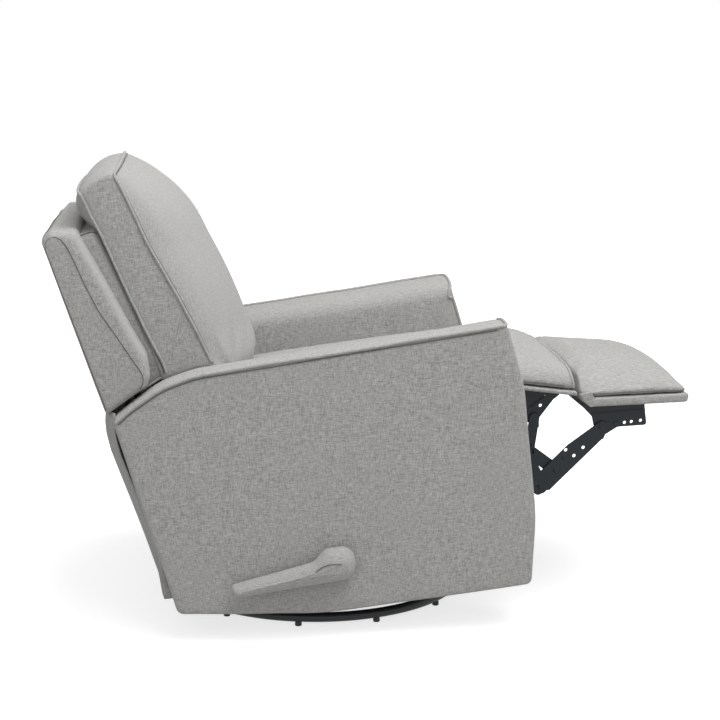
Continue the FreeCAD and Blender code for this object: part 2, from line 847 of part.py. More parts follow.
def arm_outline(drop, pull):
    """Side outline of an arm; drop lowers its top line and pull draws in the rest."""
    front = arm_front - pull
    low = arm_bottom + pull
    rear_low = -arm_foot_rear + pull
    rear_high = -arm_rear + pull
    return [
        (front - 25, arm_front_height - drop, 8),
        (front - 1, arm_front_height - 125, 260),
        (front, 185, 400),
        (front - 22, low, 14),
        (-40, low, 700),
        (rear_low, low + 41, 14),
        (rear_high, arm_rear_height - drop, 14),
        (-318, arm_rear_height + 62 - drop, 60),
        (-262, arm_front_height - 20 - drop, 60),
    ]


def make_arm(side):
    """An upholstered arm; its top rolls down to the inside and its welted outer edge is crisp."""
    stations = [
        (outer, 3, 4),
        (outer - 4, 0.5, 0.5),
        (outer - 40, -2, 0),
        (inner + arm_top_round, 0, 0),
        (inner + arm_top_round * 0.45, arm_top_round * 0.16, 0),
        (inner + arm_top_round * 0.12, arm_top_round * 0.52, 1),
        (inner, arm_top_round, 4),
    ]
    wires = [side_wire(arm_outline(drop, pull), side * y) for y, drop, pull in stations]
    arm = Part.makeLoft(wires, True, True)
    if side < 0:
        arm = arm.cut(pin(lever_x, lever_z, -outer - 1, 1 - inner, torque_tube_radius + lever_bore_gap))
    return arm


# Seat frame

def make_seat_rails():
    high = seat_deck
    low = seat_deck - rail_height
    front = box(front_rail_x, front_rail_x + front_rail_width, -inner, inner, low - 2, high - webbing_thickness)
    rear = box(seat_rear, seat_rear + rear_rail_width, -inner, inner, low - 2, high - webbing_thickness)
    return Part.makeCompound([front, rear])


def make_seat_webbing():
    """Elastic straps stretched from the rear rail to the front rail."""
    straps = []
    spread = (inside_width - 2 * webbing_width) / (webbing_count - 1)
    for i in range(webbing_count):
        y = -inside_width / 2 + webbing_width + i * spread
        straps.append(box(seat_rear + 4, front_rail_x + front_rail_width - 4,
                          y - webbing_width / 2, y + webbing_width / 2,
                          seat_deck - webbing_thickness, seat_deck))
    return Part.makeCompound(straps)


def make_rear_rail():
    return box(-arm_foot_rear - 25, -arm_foot_rear + 8, -inner + 0.1, inner - 0.1, 96, 140)


# Back

def back_line(z, x_low, z_low, x_high, z_high):
    return x_low + (z - z_low) / (z_high - z_low) * (x_high - x_low)


outer_back_foot = (-417, 496)
outer_back_head = (-495, 846)
outer_back_front_foot = (-334, 548)
outer_back_front_head = (-442, 846)
cushion_back_foot = (-281, 492)
cushion_back_head = (-385, 843)


def make_outer_back():
    head_x, head_z = outer_back_head
    front_x, front_z = outer_back_front_head

    def outline(pull):
        return [
            (outer_back_foot[0] + pull, outer_back_foot[1] + pull, 6),
            (head_x + pull, head_z - pull, 10),
            (head_x + 17, head_z + 25 - pull, 10),
            (front_x - 4, front_z + 22 - pull, 8),
            (front_x - pull, front_z, 8),
            (outer_back_front_foot[0] - pull, outer_back_front_foot[1] + pull, 6),
        ]
    half = back_width / 2
    stations = [(-half, back_round), (-half + 3, 2), (-half + back_round, 0),
                (half - back_round, 0), (half - 3, 2), (half, back_round)]
    wires = [side_wire(outline(pull), y) for y, pull in stations]
    return Part.makeLoft(wires, True, True)


def make_back_block():
    """The padded inner frame that the cushion is sewn to."""
    low_z = cushion_back_foot[1]
    front_gap = seat_gap
    rear_low = back_line(low_z, *outer_back_front_foot, *outer_back_front_head)
    corners = [
        (rear_low + front_gap, low_z, 6),
        (outer_back_front_head[0] + front_gap + 1, outer_back_front_head[1] - 2, 6),
        (cushion_back_head[0] - front_gap, cushion_back_head[1] - 1, 6),
        (cushion_back_foot[0] - front_gap, low_z, 6),
    ]
    return side_plate(corners, -rod_plane, rod_plane)


def cushion_profile(y, fullness):
    """A side profile of the back cushion; fullness runs from 0 at its edge to 1 at its middle."""
    def mix(edge, middle):
        return V(edge[0] + (middle[0] - edge[0]) * fullness, y, edge[1] + (middle[1] - edge[1]) * fullness)
    foot = mix(cushion_back_foot, cushion_back_foot)
    knee = mix(cushion_back_head, cushion_back_head)
    step = mix((-390, 862), (-418, 861))
    bulge = mix((-397, 884), (-440, 884))
    rear_top = mix((-419, 930), (-423, 934))
    crest = mix((-384, 953), (-385, 972))
    front_top = mix((-346, 964), (-325, 982))
    brow = mix((-320, 886), (-236, 920))
    chest = mix((-291, 800), (-171, 800))
    waist = mix((-245, 700), (-131, 690))
    belly = mix((-215, 600), (-108, 600))
    front_low = mix((-198, 520), (-112, 512))
    front_foot = mix((-208, 492), (-138, 492))
    return Part.Wire([
        Part.LineSegment(foot, knee).toShape(),
        Part.Arc(knee, step, bulge).toShape(),
        Part.Arc(bulge, mix((-405, 912), (-437, 912)), rear_top).toShape(),
        Part.Arc(rear_top, crest, front_top).toShape(),
        Part.Arc(front_top, brow, chest).toShape(),
        Part.Arc(chest, waist, belly).toShape(),
        Part.Arc(belly, front_low, front_foot).toShape(),
        Part.LineSegment(front_foot, foot).toShape(),
    ])


def make_back_cushion():
    """A crowned back pillow that widens above the arms."""
    half = back_cushion_width / 2
    stations = [(share, math.sqrt(1 - share * share)) for share in (1.0, 0.93, 0.72, 0.4)]
    stations.append((0.0, 1.0))
    wires = [cushion_profile(-half * share, full) for share, full in stations]
    wires += [cushion_profile(half * share, full) for share, full in reversed(stations[:-1])]
    cushion = Part.makeLoft(wires, True, True)
    arm_top = arm_front_height - 20 + 6
    notch = box(-500, 0, seat_half, half + 5, 400, arm_top)
    return cushion.cut([notch, mirrored(notch)])


def make_back_brackets():
    low_z = cushion_back_foot[1]
    x_low = back_pivot_x
    top_z = low_z + 150
    block_x = back_line(low_z, *outer_back_front_foot, *outer_back_front_head)
    top_x = back_line(top_z, *outer_back_front_foot, *outer_back_front_head)
    corners = [
        (x_low - 20, back_pivot_z - 20, 18),
        (x_low + 20, back_pivot_z - 20, 18),
        (x_low + 16, back_pivot_z + 60, 60),
        (block_x + bracket_front, low_z + 6, 60),
        (top_x + bracket_front, top_z, 8),
        (top_x + bracket_rear, top_z, 8),
        (block_x + bracket_rear, low_z - 40, 60),
        (x_low - 20, back_pivot_z + 50, 60),
    ]
    bracket = side_plate(corners, rod_plane, rod_plane + link_thickness)
    bracket = drill(bracket, [(back_pivot_x, back_pivot_z)], back_pin_radius + pin_clearance,
                    rod_plane, rod_plane + link_thickness)
    return both_sides(bracket)


def make_rear_flap():
    """Cloth that hangs from the back's lower edge to the rear rail."""
    half = flap_cloth_width / 2
    thick = flap_cloth_thickness
    foot = -arm_foot_rear - 25 - seat_gap
    line = [(foot - thick, 100), (foot - thick - 2, 150), (-393, 290), (-417, 390), (-424, 450)]

    def edge_arcs(shift):
        points = [V(x + shift, -half, z) for x, z in line]
        first = Part.Arc(points[0], points[1], points[2]).toShape()
        second = Part.Arc(points[2], points[3], points[4]).toShape()
        return points, [first, second]
    rear_points, rear_edges = edge_arcs(0)
    front_points, front_edges = edge_arcs(thick)
    top = Part.LineSegment(rear_points[-1], front_points[-1]).toShape()
    bottom = Part.LineSegment(front_points[0], rear_points[0]).toShape()
    wire = Part.Wire(Part.__sortEdges__(rear_edges + [top] + front_edges + [bottom]))
    return Part.Face(wire).extrude(V(0, 2 * half, 0))


# Assembly

def leaned(shape):
    copy = shape.copy()
    copy.rotate(V(tilt_x, 0, tilt_z), V(0, 1, 0), -tilt_angle)
    return copy


def build_standing_parts():
    reach = post_spacing / 2
    return {
        "base_ring": ring_solid(),
        "base_glides": make_base_glides(),
        "base_spider": make_base_spider(),
        "swivel_lower_plate": swivel_plate(swivel_plate_bottom, 0.0),
        "swivel_bearing_ring": make_bearing_ring(),
        "swivel_king_pin": make_king_pin(),
        "swivel_upper_plate": swivel_plate(swivel_top_bottom, pin_clearance),
        "glider_frame": make_glider_frame(),
        "glider_upper_pins": glide_pins(glide_upper_pivot, post_inner, link_inner + glide_link_thickness,
                                        post_inner - glide_pin_head),
        "glide_links_front": make_glide_links(reach),
        "glide_links_rear": make_glide_links(-reach),
        "carriage_rails": make_carriage_rails(),
        "carriage_tubes": make_carriage_tubes(),
        "carriage_pins": glide_pins(glide_lower_pivot, link_inner, carriage_inner + carriage_plate,
                                    carriage_inner + carriage_plate),
        "tilt_bumpers": make_tilt_bumpers(),
        "tilt_pins": make_tilt_pins(),
    }


def build_chair_parts():
    return {
        "mechanism_plates": make_mechanism_plates(),
        "mechanism_pins": make_chair_pins(),
        "cross_tubes": make_cross_tubes(),
        "right_arm": make_arm(-1),
        "left_arm": make_arm(1),
        "seat_rails": make_seat_rails(),
        "seat_webbing": make_seat_webbing(),
        "seat_cushion": make_seat_cushion(),
        "rear_rail": make_rear_rail(),
        "rear_flap": make_rear_flap(),
        "torque_tube": make_torque_tube(),
        "lever_handle": make_lever_handle(),
        "drive_rods": make_drive_rods(),
        "drive_links": make_drive_links(),
        "long_links": make_long_links(),
        "cross_links": make_cross_links(),
        "lift_links": make_lift_links(),
        "flap_brackets": make_flap_brackets(),
        "flap_board": make_flap_board(),
        "flap_pad": make_flap_pad(),
        "footrest_brackets": make_footrest_brackets(),
        "footrest_cross_rail": make_footrest_cross_rail(),
        "footrest_board": make_footrest_board(),
        "footrest_pad": make_footrest_pad(),
        "outer_back": make_outer_back(),
        "back_block": make_back_block(),
        "back_brackets": make_back_brackets(),
        "back_cushion": make_back_cushion(),
    }


def main():
    os.makedirs("parts", exist_ok=True)
    for name, shape in build_standing_parts().items():
        shape.exportStep("parts/" + name + ".step")
    for name, shape in build_chair_parts().items():
        leaned(shape).exportStep("parts/" + name + ".step")


main()
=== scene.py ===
import json
import math
import bmesh
import bpy
import numpy as np
from mathutils import Matrix, Vector, noise
from mathutils.bvhtree import BVHTree


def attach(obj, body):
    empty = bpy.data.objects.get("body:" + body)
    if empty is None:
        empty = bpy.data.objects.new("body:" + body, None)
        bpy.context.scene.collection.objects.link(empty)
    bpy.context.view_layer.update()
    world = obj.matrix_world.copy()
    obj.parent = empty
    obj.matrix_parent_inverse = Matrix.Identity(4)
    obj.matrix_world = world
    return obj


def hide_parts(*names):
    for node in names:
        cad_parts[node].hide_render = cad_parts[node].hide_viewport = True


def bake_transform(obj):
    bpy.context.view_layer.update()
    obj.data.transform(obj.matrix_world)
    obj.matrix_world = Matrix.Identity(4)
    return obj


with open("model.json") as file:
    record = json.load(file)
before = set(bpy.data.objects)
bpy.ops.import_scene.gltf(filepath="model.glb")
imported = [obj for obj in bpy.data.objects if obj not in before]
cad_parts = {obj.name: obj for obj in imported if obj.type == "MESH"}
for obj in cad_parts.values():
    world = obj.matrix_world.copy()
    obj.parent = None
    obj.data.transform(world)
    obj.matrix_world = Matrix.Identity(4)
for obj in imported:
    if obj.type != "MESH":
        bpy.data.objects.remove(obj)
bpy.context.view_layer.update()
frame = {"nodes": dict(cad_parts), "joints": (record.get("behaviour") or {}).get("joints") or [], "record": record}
print("Frame loaded:", len(frame["nodes"]), "nodes")


# Places: chair pieces are drawn level, in millimetres, and leaned on the tilt pivot at the end

tiltJoint = next(joint for joint in frame["joints"] if joint["name"] == "seat_tilt")
tiltPlace = Vector(tiltJoint["pos_m"])
leanDegrees = 6.1
leanMatrix = (Matrix.Translation(tiltPlace) @ Matrix.Rotation(math.radians(-leanDegrees), 4, "Y")
              @ Matrix.Translation(-tiltPlace))
levelMatrix = leanMatrix.inverted()


def level(x, y, z):
    return Vector((x, y, z)) / 1000


chair = {
    "inner": 261,           # from the middle to an arm's inside
    "outer": 386,           # from the middle to an arm's outside
    "armFront": 412,
    "armFrontHeight": 583,
    "armRearHeight": 487,
    "armBottom": 43,
    "armRear": 405,
    "armFootRear": 330,
    "seatHalf": 260.5,
    "cushionHalf": 280,
    "backHalf": 345,
}


# Camera at the photograph's place

cameraSetup = {
    "place": (-0.3149, -3.4522, 1.1502),
    "turn": 6.75,           # degrees, towards the chair's front
    "pitch": 10.63,         # degrees down
    "lens": 80,
}


def makeCamera(setup):
    data = bpy.data.cameras.new("camera")
    data.lens = setup["lens"]
    data.sensor_width = 36
    camera = bpy.data.objects.new("camera", data)
    camera.location = setup["place"]
    camera.rotation_euler = (math.radians(90 - setup["pitch"]), 0, math.radians(-setup["turn"]))
    bpy.context.scene.collection.objects.link(camera)
    bpy.context.scene.camera = camera


# Node helpers

def addNode(tree, kind, x, y, **inputs):
    made = tree.nodes.new(kind)
    made.location = (x, y)
    for name, value in inputs.items():
        made.inputs[name].default_value = value
    return made


def setInputs(node, values):
    for name, value in values.items():
        node.inputs[name].default_value = value


def mathNode(tree, operation, x, y, first=None, second=None):
    made = addNode(tree, "ShaderNodeMath", x, y)
    made.operation = operation
    for socket, value in ((0, first), (1, second)):
        if value is None:
            continue
        if isinstance(value, (int, float)):
            made.inputs[socket].default_value = value
        else:
            tree.links.new(value, made.inputs[socket])
    return made.outputs[0]


def newGroup(name, inputs, outputs):
    group = bpy.data.node_groups.new(name, "ShaderNodeTree")
    for label, kind, value in inputs:
        socket = group.interface.new_socket(name=label, in_out="INPUT", socket_type=kind)
        socket.default_value = value
    for label, kind in outputs:
        group.interface.new_socket(name=label, in_out="OUTPUT", socket_type=kind)
    source = addNode(group, "NodeGroupInput", -1200, 0)
    sink = addNode(group, "NodeGroupOutput", 900, 0)
    return group, source, sink


# Linen weave, used by every cloth: slubbed threads both ways, whichever way the cloth faces

def makeLinenGroup():
    group, source, sink = newGroup("linenWeave", [
        ("Thread Scale", "NodeSocketFloat", 1.0),
        ("Slub Contrast", "NodeSocketFloat", 1.0),
    ], [("Tone", "NodeSocketFloat"), ("Height", "NodeSocketFloat")])
    links = group.links
    place = addNode(group, "ShaderNodeTexCoord", -1200, 300)
    normal = addNode(group, "ShaderNodeSeparateXYZ", -1000, -300)
    links.new(place.outputs["Normal"], normal.inputs[0])
    scaled = addNode(group, "ShaderNodeVectorMath", -1000, 300)
    scaled.operation = "SCALE"
    links.new(place.outputs["Object"], scaled.inputs[0])
    links.new(source.outputs["Thread Scale"], scaled.inputs["Scale"])
    slubs = []
    threads = []
    for i, along in enumerate(((1, 0, 0), (0, 1, 0), (0, 0, 1))):
        facing = mathNode(group, "ABSOLUTE", -800, -300 - 160 * i, normal.outputs[i])
        weight = mathNode(group, "SUBTRACT", -620, -300 - 160 * i, 1.0, facing)
        for store, short, far, detail in ((slubs, 70, 520, 2.0), (threads, 260, 1500, 1.0)):
            stretch = addNode(group, "ShaderNodeVectorMath", -800, 300 - 220 * i)
            stretch.operation = "MULTIPLY"
            stretch.inputs[1].default_value = [short if a else far for a in along]
            links.new(scaled.outputs[0], stretch.inputs[0])
            pattern = addNode(group, "ShaderNodeTexNoise", -600, 300 - 220 * i,
                              Scale=1.0, Detail=detail, Roughness=0.6)
            links.new(stretch.outputs[0], pattern.inputs["Vector"])
            fac = pattern.outputs["Fac"]
            centred = mathNode(group, "SUBTRACT", -400, 300 - 220 * i, fac, 0.5)
            store.append(mathNode(group, "MULTIPLY", -240, 300 - 220 * i, centred, weight))
    slub = mathNode(group, "ADD", -100, 200, slubs[0], slubs[1])
    slub = mathNode(group, "ADD", 0, 200, slub, slubs[2])
    thread = mathNode(group, "ADD", -100, -100, threads[0], threads[1])
    thread = mathNode(group, "ADD", 0, -100, thread, threads[2])
    strong = mathNode(group, "MULTIPLY", 150, 200, slub, source.outputs["Slub Contrast"])
    soft = mathNode(group, "MULTIPLY", 200, 0, thread, 0.8)
    both = mathNode(group, "ADD", 300, 100, strong, soft)
    tone = mathNode(group, "ADD", 450, 100, both, 0.5)
    tone.node.use_clamp = True
    low = mathNode(group, "MULTIPLY", 300, -100, slub, 0.7)
    height = mathNode(group, "ADD", 450, -100, low, thread)
    links.new(tone, sink.inputs["Tone"])
    links.new(height, sink.inputs["Height"])
    return group


# Handling marks, used by every metal and plastic: soft blotches and fine specks

def makeHandlingGroup():
    group, source, sink = newGroup("handlingMarks", [
        ("Blotch Scale", "NodeSocketFloat", 14.0),
        ("Speck Scale", "NodeSocketFloat", 900.0),
    ], [("Blotch", "NodeSocketFloat"), ("Speck", "NodeSocketFloat")])
    place = addNode(group, "ShaderNodeTexCoord", -1000, 200)
    blotch = addNode(group, "ShaderNodeTexNoise", -700, 200, Detail=5.0, Roughness=0.65)
    speck = addNode(group, "ShaderNodeTexNoise", -700, -100, Detail=2.0, Roughness=0.5)
    for pattern, label in ((blotch, "Blotch Scale"), (speck, "Speck Scale")):
        group.links.new(place.outputs["Object"], pattern.inputs["Vector"])
        group.links.new(source.outputs[label], pattern.inputs["Scale"])
    spread = addNode(group, "ShaderNodeMapRange", -400, 200)
    setInputs(spread, {"From Min": 0.35, "From Max": 0.68})
    group.links.new(blotch.outputs["Fac"], spread.inputs["Value"])
    group.links.new(spread.outputs["Result"], sink.inputs["Blotch"])
    group.links.new(speck.outputs["Fac"], sink.inputs["Speck"])
    return group


def newMaterial(name):
    material = bpy.data.materials.new(name)
    material.use_nodes = True
    tree = material.node_tree
    shader = tree.nodes["Principled BSDF"]
    return material, tree, shader


def colourFrom(tree, shader, factor, low, high):
    mix = addNode(tree, "ShaderNodeMix", -400, 200)
    mix.data_type = "RGBA"
    mix.inputs["A"].default_value = (*low, 1)
    mix.inputs["B"].default_value = (*high, 1)
    tree.links.new(factor, mix.inputs["Factor"])
    tree.links.new(mix.outputs["Result"], shader.inputs["Base Color"])


def bumpFrom(tree, shader, height, strength, distance):
    raised = addNode(tree, "ShaderNodeBump", -300, -200, Strength=strength, Distance=distance)
    tree.links.new(height, raised.inputs["Height"])
    tree.links.new(raised.outputs["Normal"], shader.inputs["Normal"])


def clothMaterial(name, dark, light, threadScale, slubContrast, bump):
    material, tree, shader = newMaterial(name)
    weave = addNode(tree, "ShaderNodeGroup", -700, 0)
    weave.node_tree = linenGroup
    setInputs(weave, {"Thread Scale": threadScale, "Slub Contrast": slubContrast})
    colourFrom(tree, shader, weave.outputs["Tone"], dark, light)
    bumpFrom(tree, shader, weave.outputs["Height"], bump, 0.0006)
    setInputs(shader, {"Roughness": 0.92, "Specular IOR Level": 0.25,
                       "Sheen Weight": 0.18, "Sheen Roughness": 0.55})
    return material


def hardMaterial(name, dark, light, smooth, rough, bump, metallic=0.0, shine=0.5):
    material, tree, shader = newMaterial(name)
    marks = addNode(tree, "ShaderNodeGroup", -700, 0)
    marks.node_tree = handlingGroup
    colourFrom(tree, shader, marks.outputs["Blotch"], dark, light)
    spread = addNode(tree, "ShaderNodeMapRange", -400, -50)
    setInputs(spread, {"To Min": smooth, "To Max": rough})
    tree.links.new(marks.outputs["Blotch"], spread.inputs["Value"])
    tree.links.new(spread.outputs["Result"], shader.inputs["Roughness"])
    bumpFrom(tree, shader, marks.outputs["Speck"], bump, 0.0002)
    setInputs(shader, {"Metallic": metallic, "Specular IOR Level": shine})
    return material


def woodMaterial(name):
    material, tree, shader = newMaterial(name)
    place = addNode(tree, "ShaderNodeTexCoord", -1100, 0)
    stretch = addNode(tree, "ShaderNodeMapping", -900, 0)
    stretch.inputs["Scale"].default_value = (60, 4, 60)
    grain = addNode(tree, "ShaderNodeTexNoise", -700, 0, Scale=3.0, Detail=5.0, Roughness=0.6)
    tree.links.new(place.outputs["Object"], stretch.inputs["Vector"])
    tree.links.new(stretch.outputs["Vector"], grain.inputs["Vector"])
    colourFrom(tree, shader, grain.outputs["Fac"], (0.34, 0.22, 0.12), (0.66, 0.5, 0.32))
    bumpFrom(tree, shader, grain.outputs["Fac"], 0.3, 0.0005)
    shader.inputs["Roughness"].default_value = 0.6
    return material


linenGroup = makeLinenGroup()
handlingGroup = makeHandlingGroup()
linen = clothMaterial("greyLinen", (0.255, 0.251, 0.243), (0.585, 0.58, 0.566),
                      threadScale=1.3, slubContrast=1.5, bump=0.5)
webbingCloth = clothMaterial("blackWebbing", (0.02, 0.02, 0.02), (0.07, 0.07, 0.07),
                             threadScale=0.5, slubContrast=0.8, bump=0.5)
# Cloth for seam lines, much darker than the linen: the seams are real, their darkness is painted shade of the
# sunken seams
paintedSeamShade = clothMaterial("paintedSeamShade", (0.11, 0.108, 0.104), (0.2, 0.197, 0.19),
                           threadScale=1.6, slubContrast=0.8, bump=0.4)
satinBlack = hardMaterial("satinBlack", (0.006, 0.007, 0.009), (0.016, 0.018, 0.02),
                          smooth=0.33, rough=0.5, bump=0.25, shine=0.4)
blueBlack = hardMaterial("blueBlackPaint", (0.006, 0.009, 0.012), (0.016, 0.021, 0.026),
                         smooth=0.36, rough=0.55, bump=0.35, shine=0.28)
zinc = hardMaterial("zincPin", (0.33, 0.33, 0.34), (0.52, 0.52, 0.53),
                    smooth=0.3, rough=0.5, bump=0.2, metallic=1.0)
nylon = hardMaterial("blackNylon", (0.016, 0.016, 0.017), (0.03, 0.03, 0.032),
                     smooth=0.5, rough=0.65, bump=0.3)
rubber = hardMaterial("blackRubber", (0.018, 0.018, 0.018), (0.035, 0.035, 0.035),
                      smooth=0.75, rough=0.9, bump=0.4)
plywood = woodMaterial("plywood")
slotMaterials = {
    "upholstery": linen,
    "webbing": webbingCloth,
    "black_steel": satinBlack,
    "mechanism_steel": blueBlack,
    "pin_steel": zinc,
    "black_plastic": nylon,
    "black_rubber": rubber,
    "frame_wood": plywood,
}


def dressNodes():
    slotOf = {row["node"]: row["material_slot"] for row in frame["record"]["subparts"]}
    for name, node in frame["nodes"].items():
        node.data.materials.clear()
        node.data.materials.append(slotMaterials[slotOf[name]])
        node.data.set_sharp_from_angle(angle=math.radians(32))


dressNodes()
print("Materials made")


# Mesh helpers

def linkMesh(name, mesh, material):
    piece = bpy.data.objects.new(name, mesh)
    bpy.context.scene.collection.objects.link(piece)
    mesh.materials.clear()
    mesh.materials.append(material)
    return piece


def cleanMesh(mesh, merge=0.0, turnOut=True):
    fixed = bmesh.new()
    fixed.from_mesh(mesh)
    if merge:
        bmesh.ops.remove_doubles(fixed, verts=fixed.verts, dist=merge)
    if turnOut:
        bmesh.ops.recalc_face_normals(fixed, faces=fixed.faces)
    fixed.to_mesh(mesh)
    fixed.free()


def meshPiece(name, points, faces, material):
    mesh = bpy.data.meshes.new(name)
    mesh.from_pydata([tuple(point) for point in points], [], faces)
    cleanMesh(mesh)
    mesh.update()
    mesh.shade_smooth()
    return linkMesh(name, mesh, material)


def applyModifiers(piece):
    depsgraph = bpy.context.evaluated_depsgraph_get()
    mesh = bpy.data.meshes.new_from_object(piece.evaluated_get(depsgraph))
    piece.modifiers.clear()
    old = piece.data
    piece.data = mesh
    mesh.name = piece.name
    bpy.data.meshes.remove(old)


def readPoints(mesh):
    points = np.empty(len(mesh.vertices) * 3)
    mesh.vertices.foreach_get("co", points)
    return points.reshape(-1, 3)


def readNormals(mesh):
    normals = np.empty(len(mesh.vertices) * 3)
    mesh.vertices.foreach_get("normal", normals)
    return normals.reshape(-1, 3)


def writePoints(mesh, points):
    mesh.vertices.foreach_set("co", points.reshape(-1))
    mesh.update()


def roundOutline(corners, arcSteps, edgeSteps):   # corners: (across, up, rounding radius)
    points = []
    count = len(corners)
    for i in range(count):
        here = Vector(corners[i][:2])
        toBefore = Vector(corners[i - 1][:2]) - here
        toAfter = Vector(corners[(i + 1) % count][:2]) - here
        half = toBefore.angle(toAfter) / 2
        limit = 0.48 * min(toBefore.length, toAfter.length)
        setback = min(corners[i][2] / math.tan(half), limit)
        used = setback * math.tan(half)
        toBefore.normalize()
        toAfter.normalize()
        centre = here + (toBefore + toAfter).normalized() * (used / math.sin(half))
        first = here + toBefore * setback - centre
        last = here + toAfter * setback - centre
        sweep = max(math.pi - 2 * half, 1e-4)
        for k in range(arcSteps + 1):
            t = k / arcSteps
            share = first * math.sin((1 - t) * sweep) + last * math.sin(t * sweep)
            points.append(centre + share / math.sin(sweep))
        end = centre + last
        following = corners[(i + 1) % count]
        nextHere = Vector(following[:2])
        nextAfter = Vector(corners[(i + 2) % count][:2]) - nextHere
        nextBefore = here - nextHere
        nextHalf = nextBefore.angle(nextAfter) / 2
        nextLimit = 0.48 * min(nextBefore.length, nextAfter.length)
        nextSetback = min(following[2] / math.tan(nextHalf), nextLimit)
        start = nextHere + nextBefore.normalized() * nextSetback
        for k in range(1, edgeSteps[i]):
            points.append(end.lerp(start, k / edgeSteps[i]))
    return points


def capRings(ring, outward, bulge, shares=(0.93, 0.8, 0.62, 0.42, 0.2)):
    low = Vector([min(point[a] for point in ring) for a in range(3)])
    high = Vector([max(point[a] for point in ring) for a in range(3)])
    middle = (low + high) / 2
    rings = []
    for share in shares:
        lift = outward * bulge * (1 - share ** 2)
        rings.append([middle + (point - middle) * share + lift for point in ring])
    return rings, middle + outward * bulge


def ringMiddle(ring):
    return sum(ring, Vector()) / len(ring)


def bandFaces(first, rows, count):   # quads between closed rows of points
    faces = []
    for row in range(rows - 1):
        for k in range(count):
            a = first + row * count + k
            b = first + row * count + (k + 1) % count
            faces.append((a, b, b + count, a + count))
    return faces


def loftPiece(name, rings, material, startBulge=0.0, endBulge=0.0):
    startOut = (ringMiddle(rings[0]) - ringMiddle(rings[1])).normalized()
    endOut = (ringMiddle(rings[-1]) - ringMiddle(rings[-2])).normalized()
    startCap, startPoint = capRings(rings[0], startOut, startBulge)
    endCap, endPoint = capRings(rings[-1], endOut, endBulge)
    everyRing = startCap[::-1] + rings + endCap
    count = len(rings[0])
    points = [startPoint] + [point for ring in everyRing for point in ring] + [endPoint]
    faces = []
    for k in range(count):
        faces.append((0, 1 + k, 1 + (k + 1) % count))
    faces += bandFaces(1, len(everyRing), count)
    last = 1 + (len(everyRing) - 1) * count
    for k in range(count):
        faces.append((last + k, last + (k + 1) % count, len(points) - 1))
    return meshPiece(name, points, faces, material)


def ripple(piece, size, amount):
    points = readPoints(piece.data)
    waves = np.array([noise.noise(Vector(point) / size) for point in points])
    writePoints(piece.data, points + readNormals(piece.data) * (waves * amount)[:, None])


def evenPath(points, spacing):
    lengths = [0.0]
    for a, b in zip(points, points[1:]):
        lengths.append(lengths[-1] + (b - a).length)
    count = max(2, round(lengths[-1] / spacing))
    path = []
    k = 0
    for i in range(count + 1):
        wanted = lengths[-1] * i / count
        while k < len(lengths) - 2 and lengths[k + 1] < wanted:
            k += 1
        span = max(lengths[k + 1] - lengths[k], 1e-9)
        path.append(points[k].lerp(points[k + 1], min(1.0, (wanted - lengths[k]) / span)))
    return path


def tubePiece(name, path, radius, material):
    curve = bpy.data.curves.new(name, "CURVE")
    curve.dimensions = "3D"
    curve.bevel_depth = radius
    curve.bevel_resolution = 3
    curve.use_fill_caps = True
    spline = curve.splines.new("POLY")
    spline.points.add(len(path) - 1)
    for point, place in zip(spline.points, path):
        point.co = (*place, 1)
    holder = bpy.data.objects.new(name + "Line", curve)
    bpy.context.scene.collection.objects.link(holder)
    depsgraph = bpy.context.evaluated_depsgraph_get()
    mesh = bpy.data.meshes.new_from_object(holder.evaluated_get(depsgraph))
    bpy.data.objects.remove(holder)
    mesh.shade_smooth()
    return linkMesh(name, mesh, material)


def weltOn(host, name, points, radius, sink, material, body, spacing=0.006, loosen=2):
    tree = BVHTree.FromObject(host, bpy.context.evaluated_depsgraph_get())
    radius = radius / 1000
    path = []
    for point in evenPath(points, spacing):
        place, normal, index, distance = tree.find_nearest(point)
        path.append(place + normal * radius * (1 - sink))
    for turn in range(loosen):   # a sewn welt runs smoother than the cloth under it
        between = [(a + b * 2 + c) / 4 for a, b, c in zip(path, path[1:], path[2:])]
        path = [path[0]] + between + [path[-1]]
    finishPiece(tubePiece(name, path, radius, material), body)


# Size of the dark tubes laid beside welts, which paint the shade under the welts
paintedShadeTube = {
    "radius": 1.1,
    "sink": 0.35,
}


def shadeLine(host, name, points, shift, body):   # a dark tube beside a welt: painted shade under the welt's edge
    moved = [point + Vector(shift) / 1000 for point in points]
    weltOn(host, name, moved, paintedShadeTube["radius"], paintedShadeTube["sink"], paintedSeamShade, body, loosen=1)


def finishPiece(piece, body, replaced=(), lean=True):
    if lean:
        piece.data.transform(leanMatrix)
        piece.data.update()
    if replaced:
        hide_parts(*replaced)
    if body:
        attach(piece, body)
    return piece


def levelCopy(name, node):
    mesh = frame["nodes"][node].data.copy()
    mesh.transform(levelMatrix)
    return linkMesh(name, mesh, linen)


def remeshPiece(piece, voxel, passes):
    remesh = piece.modifiers.new("remesh", "REMESH")
    remesh.mode = "VOXEL"
    remesh.voxel_size = voxel
    soften = piece.modifiers.new("soften", "SMOOTH")
    soften.factor = 0.5
    soften.iterations = passes
    applyModifiers(piece)


# Stuffing: a pad is remeshed, its seams are held, and cloth pressure fills it between them

stuffing = {
    "voxel": 0.0065,
    "softening": 5,
    "pressure": 4.0,
    "frames": 20,
    "seamSpacing": 0.005,
    "seamReach": 0.007,
    "easing": 7,
}


